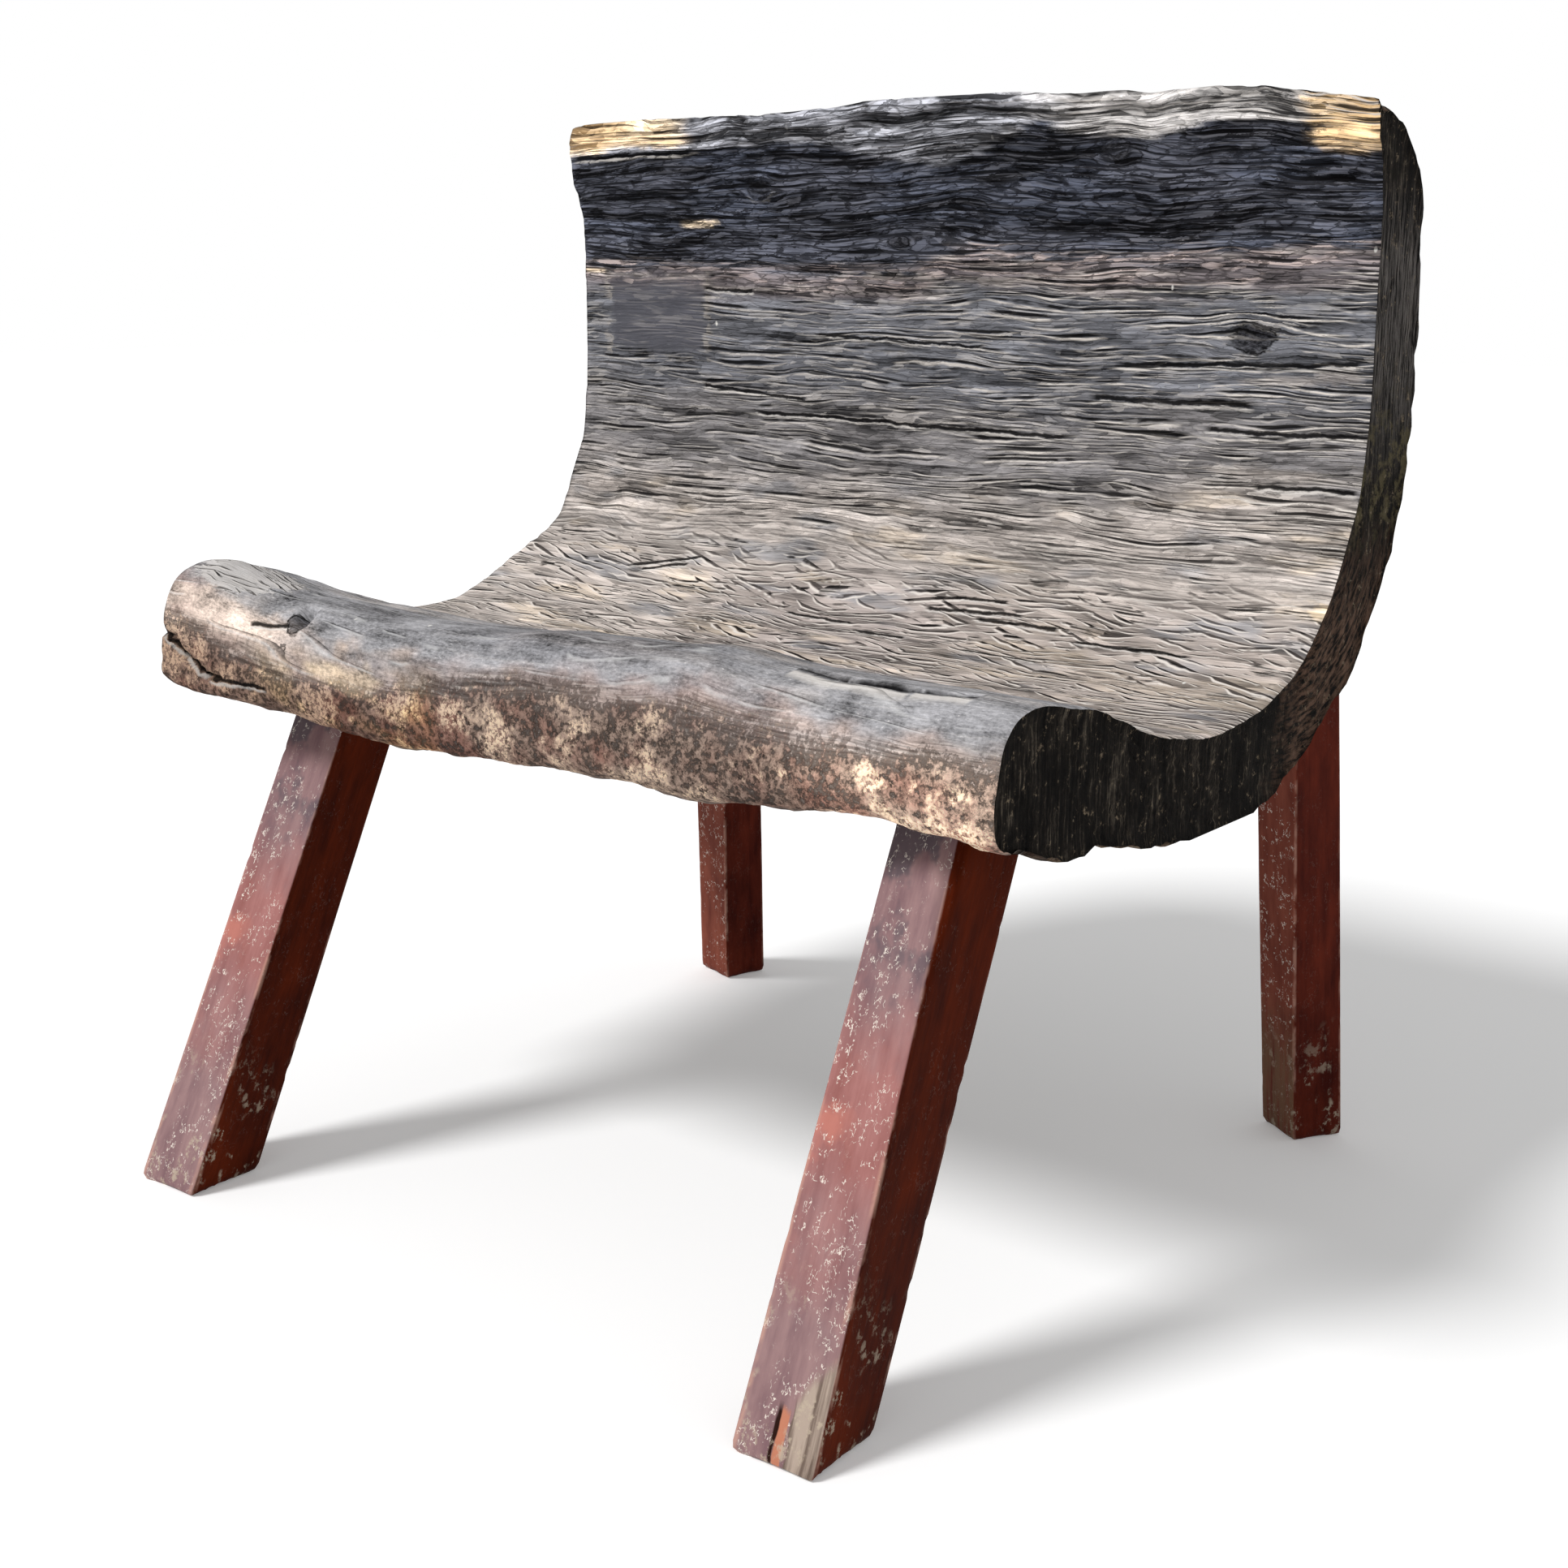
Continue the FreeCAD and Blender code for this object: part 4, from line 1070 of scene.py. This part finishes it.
def planeTimber(name, timber, lean, mesh, seed):
    # hand-planed faces and worn arrises, then the timber is turned and leaned to its place
    points = readPoints(mesh)
    plain = points.copy()
    half = (timber["foot"] + (timber["top"] - timber["foot"]) * points[:, 2] / lean.length) / 2
    out = (points[:, :2] / half[:, None]) ** 9
    out /= np.maximum(np.linalg.norm(out, axis=1), 1e-9)[:, None]
    corner = ramp(np.hypot(points[:, 0], points[:, 1]) / half, 1.26, 1.37)
    wave = layeredNoise(points / [50, 50, 90], seed, 2)
    nicks = ramp(layeredNoise(points / [9, 9, 13], seed + 5, 2), 0.4, 0.8)
    move = 0.25 * wave + timber["stand"] - corner * 0.7 * nicks
    move[np.abs(points[:, :2]).max(axis=1) < half * 0.85] = 0
    points[:, :2] += out * move[:, None]
    if name == "front_right_leg":
        # the arris towards the front is planed off, widest at the top and running out on the way down
        spare = points[:, 0] - points[:, 1] - (2 * half - 11.0 * ramp(points[:, 2], 235, 392))
        points[:, 0] -= np.maximum(spare, 0) / 2
        points[:, 1] += np.maximum(spare, 0) / 2
    footTurn, topTurn = legSettings[name]["turns"]
    turn = np.radians(footTurn + (topTurn - footTurn) * points[:, 2] / lean.length)
    turned = np.stack([
        points[:, 0] * np.cos(turn) - points[:, 1] * np.sin(turn),
        points[:, 0] * np.sin(turn) + points[:, 1] * np.cos(turn), points[:, 2]], axis=1)
    writePoints(mesh, turned @ lean.rows + np.array(lean.foot))
    mesh.attributes.new("place", "FLOAT_VECTOR", "POINT").data.foreach_set("vector", plain.ravel())


def levelFoot(timber, lean, mesh):
    # cuts the timber level with the floor and rounds the cut edge
    bpy.ops.object.mode_set(mode="EDIT")
    bpy.ops.mesh.select_all(action="SELECT")
    bpy.ops.mesh.bisect(plane_co=(0, 0, 0), plane_no=(0, 0, 1), clear_inner=True, use_fill=True)
    bpy.ops.object.mode_set(mode="OBJECT")
    points = readPoints(mesh)
    radius = legSettings["footRound"] * (timber["foot"] / legSettings["front"]["foot"])
    near = np.clip((radius - points[:, 2]) / radius, 0, 1)
    inward = radius * (1 - np.sqrt(1 - near ** 2)) * 0.75
    middle = np.array(lean.foot)[:2] + np.outer(points[:, 2] / lean.axis.z, np.array(lean.axis)[:2])
    flat = points[:, :2] - middle
    points[:, :2] -= flat * (inward / np.maximum(np.linalg.norm(flat, axis=1), 1))[:, None]
    writePoints(mesh, points)


def addTenon(timber, lean, mesh):
    # the stub tenon, rooted a little way into the timber
    width, length, root = timber["tenonWidth"], timber["tenonLength"], 6
    bpy.ops.object.mode_set(mode="EDIT")
    bpy.ops.mesh.select_all(action="DESELECT")
    bpy.ops.mesh.primitive_cylinder_add(
        vertices=48, radius=width / 2, depth=length + root, end_fill_type="NGON", location=(0, 0, 0))
    bpy.ops.object.mode_set(mode="OBJECT")
    tenon = np.array([vertex.index for vertex in mesh.vertices if vertex.select])
    points = readPoints(mesh)
    local = points[tenon]
    local[local[:, 2] > 0, :2] *= 1 - 2.0 / width
    local[:, 2] += lean.length + (length - root) / 2
    points[tenon] = local @ lean.rows + np.array(lean.foot)
    writePoints(mesh, points / 1000)


def makeLeg(name, seed):
    timber = legSettings["rear" if name.startswith("rear") else "front"]
    lean = leanLeg(name)
    leg = cutTimber(name, timber, lean.length)
    planeTimber(name, timber, lean, leg.data, seed)
    levelFoot(timber, lean, leg.data)
    addTenon(timber, lean, leg.data)
    leg.select_set(True)
    bpy.ops.object.shade_smooth_by_angle(angle=math.radians(50))
    leg.data.materials.append(makeLegMaterial(name))
    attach(leg, "root")
    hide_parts(name)
    return leg


legLook = {
    "frontDark": ((56, 14, 3), (94, 32, 9)), "rearDark": ((62, 16, 9), (104, 40, 26)),
    "frontRose": ((144, 92, 88), (176, 124, 120)), "rearRose": ((100, 44, 33), (144, 80, 64)),
    "grey": ((118, 98, 104), (152, 128, 128)), "bare": ((112, 96, 86), (176, 158, 144)),
    "warm": (196, 124, 110), "shadow": (84, 80, 88), "fleck": (240, 228, 216), "arris": (206, 160, 142),
    "chip": (190, 124, 98), "split": (40, 20, 14), "damp": (124, 104, 80), "scuff": (188, 172, 152),
}


def legShade(name):
    return linear(*legLook[name])


def legShades(name, share):
    dark, pale = legLook[name]
    return blend(share, linear(*dark), linear(*pale))


def bleachedAndLitFace(mix, cloud, across, along):
    # the pale faces of the front legs: warm in the middle, greyer at both ends, painted shadow under the log
    # their paleness is partly bleaching and partly painted light and sheen
    rose = legShades("frontRose", reach(mix, 0.34, 0.68))
    warm = times(
        reach(cloud, 0.5, 0.62), reach(along, 90, 170), reach(along, 300, 210),
        reach(timesPlus(cloud, 40, across), 28, 12), 0.7)
    rose = blend(warm, rose, legShade("warm"))
    grey = largest(
        reach(timesPlus(cloud, 160, along), 290, 350), reach(timesPlus(cloud, 160, along), 250, 150))
    rose = blend(times(grey, 0.75), rose, legShades("grey", reach(mix, 0.38, 0.62)))
    return blend(times(reach(cloud, 0.50, 0.58), reach(along, 240, 300), 0.7), rose, legShade("shadow"))


def chipFoot(place, across, along, front, grain, colour, height):
    # a bare grey strip and a chipped splinter at the foot of the front right leg
    ragged = times(minus(noise(stretch(place, (0.2, 0.2, 0.05)), 3), 0.5), 8)
    strip = reach(plus(across, ragged), 7.5, 8.5)
    strip = times(strip, reach(timesPlus(across, -1.3, plus(along, times(ragged, 3))), 28, 16), front)
    colour = blend(strip, colour, legShades("bare", reach(grain, 0.4, 0.6)))
    chip = times(reach(across, -1.5, -0.5), reach(across, 5.4, 4.8))
    chip = times(chip, reach(plus(along, ragged), 24, 20), front)
    colour = blend(chip, colour, legShade("chip"))
    split = reach(absolute(plus(plus(across, 2.2), times(ragged, 0.4))), 0.9, 1.8, 1, 0)
    split = times(split, times(reach(along, 26, 20), front))
    colour = blend(split, colour, legShade("split"))
    height = timesPlus(largest(strip, chip), -1.0, height)
    return colour, timesPlus(split, -1.5, height)


def makeLegMaterial(name):
    material = startMaterial(name + "_stain")
    place = attribute("place")["Vector"]
    across, depth, along = parts(place)
    rear = name.startswith("rear")
    # the side turned to the front is a paler rose, partly bleach and partly painted light; the rest keep
    # their dark stain
    front = reach(plus(depth, absolute(across)), 0.9, -0.5)
    grain = noise(stretch(place, (0.22, 0.22, 0.012)), 4, 0.6)
    broad = noise(stretch(place, (0.05, 0.05, 0.016)), 4, 0.62)
    cloud = noise(stretch(place, (0.024, 0.024, 0.018), move=(3, 1, 2)), 4, 0.6)
    mix = timesPlus(grain, 0.25, times(broad, 0.75))
    dark = legShades("rearDark" if rear else "frontDark", reach(mix, 0.36, 0.66))
    if rear:
        rose = legShades("rearRose", reach(mix, 0.34, 0.68))
    else:
        rose = bleachedAndLitFace(mix, cloud, across, along)
    colour = blend(front, dark, rose)

    # flecks and scratches, in clusters
    crowd = noise(stretch(place, (0.03, 0.03, 0.02), move=(8, 8, 1)), 2)
    scratches = []
    for turn, move in ((35, (0, 0, 0)), (-40, (5, 2, 1))):
        field = absolute(minus(noise(stretch(place, (0.24, 0.24, 0.15), turn, move), 2, 0.6), 0.5))
        thin = reach(field, 0.010, 0.022, 1, 0)
        here = noise(stretch(place, (0.16, 0.16, 0.16), move=(move[1], 4, move[0])), 2)
        scratches.append(times(thin, reach(here, 0.56, 0.62)))
    flecks = times(largest(*scratches), reach(crowd, 0.42, 0.50))
    colour = blend(times(flecks, timesPlus(front, 0.8, 0.04)), colour, legShade("fleck"))

    # dust along the worn arrises
    edge = times(absolute(across), absolute(depth))
    wide = (22 if rear else 28) ** 2
    here = reach(edge, wide * 0.86, wide * 0.93)
    worn = times(here, reach(noise(stretch(place, (0.1, 0.1, 0.05)), 3), 0.42, 0.6))
    colour = blend(times(worn, 0.5), colour, legShade("arris"))
    height = timesPlus(flecks, -0.5, grain)
    if name == "front_right_leg":
        colour, height = chipFoot(place, across, along, front, grain, colour, height)
    if name == "rear_right_leg":
        # the foot has gone greenish where it stood in the damp
        damp = times(front, reach(timesPlus(cloud, 80, along), 165, 110), reach(grain, 0.36, 0.5))
        colour = blend(times(damp, 0.6), colour, legShade("damp"))
    if name != "rear_left_leg":
        scuff = reach(noise(stretch(place, (0.12, 0.12, 0.10), 30), 5, 0.7), 0.53, 0.60)
        here = reach(noise(stretch(place, (0.05, 0.05, 0.03), move=(1, 1, 6)), 2), 0.50, 0.56)
        scuff = times(scuff, here, reach(along, 110, 40))
        colour = blend(times(scuff, 0.75), colour, legShade("scuff"))
    finish(colour, timesPlus(broad, 0.3, 0.42), height, 0.35, 0.0008, 0.04)
    return material


# The wedges in the tenons

wedgeLook = {"dark": (150, 116, 82), "pale": (206, 176, 136)}


def makeWedgeMaterial():
    material = startMaterial("bareWedge")
    grain = noise(stretch(ground(), (260, 260, 14)), 4, 0.6)
    colour = blend(reach(grain, 0.35, 0.65), linear(*wedgeLook["dark"]), linear(*wedgeLook["pale"]))
    finish(colour, timesPlus(grain, 0.3, 0.55), grain, 0.4, 0.0008, 0.3)
    return material


shell = makeShell()
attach(shell, "root")
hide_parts("seat_shell")
shell.data.materials.append(makeLogMaterial())
shell.data.materials.append(makeSawnMaterial())
print("log carved")

for number, name in enumerate(("front_left_leg", "front_right_leg", "rear_left_leg", "rear_right_leg")):
    makeLeg(name, 40 + 10 * number)
print("legs planed")

wedgeMaterial = makeWedgeMaterial()
for name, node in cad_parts.items():
    if "wedge" in name:
        node.data.materials.clear()
        node.data.materials.append(wedgeMaterial)
print("wedges finished")


# Camera, floor and light

sceneSettings = {
    "cameraPlace": (0.9816, -1.2281, 0.6706),
    "cameraRight": (0.77276165, 0.6346918, 0.00239667),
    "cameraUp": (-0.12542224, 0.14900258, 0.98085039),
    "cameraBack": (0.62218059, -0.75826417, 0.19474795),
    "lens": 48.712,
    "sensorWidth": 36,
    "shiftX": 0.0456,
    "shiftY": -0.0572,
    "floorSize": 30,
    "floorColour": (0.93, 0.93, 0.93, 1),
    "floorGlow": 0.20,
    "sunFrom": (-0.50, -0.90, 1.10),
    "sunStrength": 2.45,
    "sunSize": 16,
    "worldStrength": 0.40,
    "white": (1, 1, 1, 1),
}


def makeCamera():
    s = sceneSettings
    data = bpy.data.cameras.new("photoCamera")
    data.lens = s["lens"]
    data.sensor_width = s["sensorWidth"]
    data.shift_x = s["shiftX"]
    data.shift_y = s["shiftY"]
    data.clip_start = 0.01
    camera = bpy.data.objects.new("photoCamera", data)
    bpy.context.scene.collection.objects.link(camera)
    turn = Matrix((s["cameraRight"], s["cameraUp"], s["cameraBack"])).transposed().to_4x4()
    camera.matrix_world = Matrix.Translation(s["cameraPlace"]) @ turn
    bpy.context.scene.camera = camera


def seenDirectly():
    # 1 for what the camera sees, also in a mirror or through glass
    ray = add("ShaderNodeLightPath").outputs
    return largest(ray["Is Camera Ray"], ray["Is Glossy Ray"], ray["Is Transmission Ray"])


def makeFloor():
    s = sceneSettings
    bpy.ops.object.select_all(action="DESELECT")
    bpy.ops.mesh.primitive_plane_add(size=s["floorSize"], location=(0, 0, 0))
    floor = bpy.context.object
    floor.name = "floor"
    material = startMaterial("paleFloor")
    share = seenDirectly()
    matt = add("ShaderNodeBsdfDiffuse", {"Color": s["floorColour"]}).outputs[0]
    glow = add("ShaderNodeEmission", {"Color": s["white"], "Strength": s["floorGlow"]}).outputs[0]
    both = add("ShaderNodeAddShader", {0: matt, 1: glow}).outputs[0]
    mix = add("ShaderNodeMixShader", {0: share, 1: matt, 2: both}).outputs[0]
    add("ShaderNodeOutputMaterial", {0: mix})
    floor.data.materials.append(material)


def makeLight():
    s = sceneSettings
    sun = bpy.data.lights.new("softKey", "SUN")
    sun.energy = s["sunStrength"]
    sun.angle = math.radians(s["sunSize"])
    lamp = bpy.data.objects.new("softKey", sun)
    bpy.context.scene.collection.objects.link(lamp)
    lamp.rotation_euler = Vector(s["sunFrom"]).to_track_quat("Z", "Y").to_euler()
    bpy.context.scene.world = startTree(bpy.data.worlds.new("studio"))
    share = seenDirectly()
    soft = add("ShaderNodeBackground", {"Color": s["white"], "Strength": s["worldStrength"]}).outputs[0]
    white = add("ShaderNodeBackground", {"Color": s["white"], "Strength": 1.0}).outputs[0]
    mix = add("ShaderNodeMixShader", {0: share, 1: soft, 2: white}).outputs[0]
    add("ShaderNodeOutputWorld", {0: mix})


makeCamera()
makeFloor()
makeLight()
bpy.context.scene.view_settings.view_transform = "Standard"
print("camera, floor and light set")
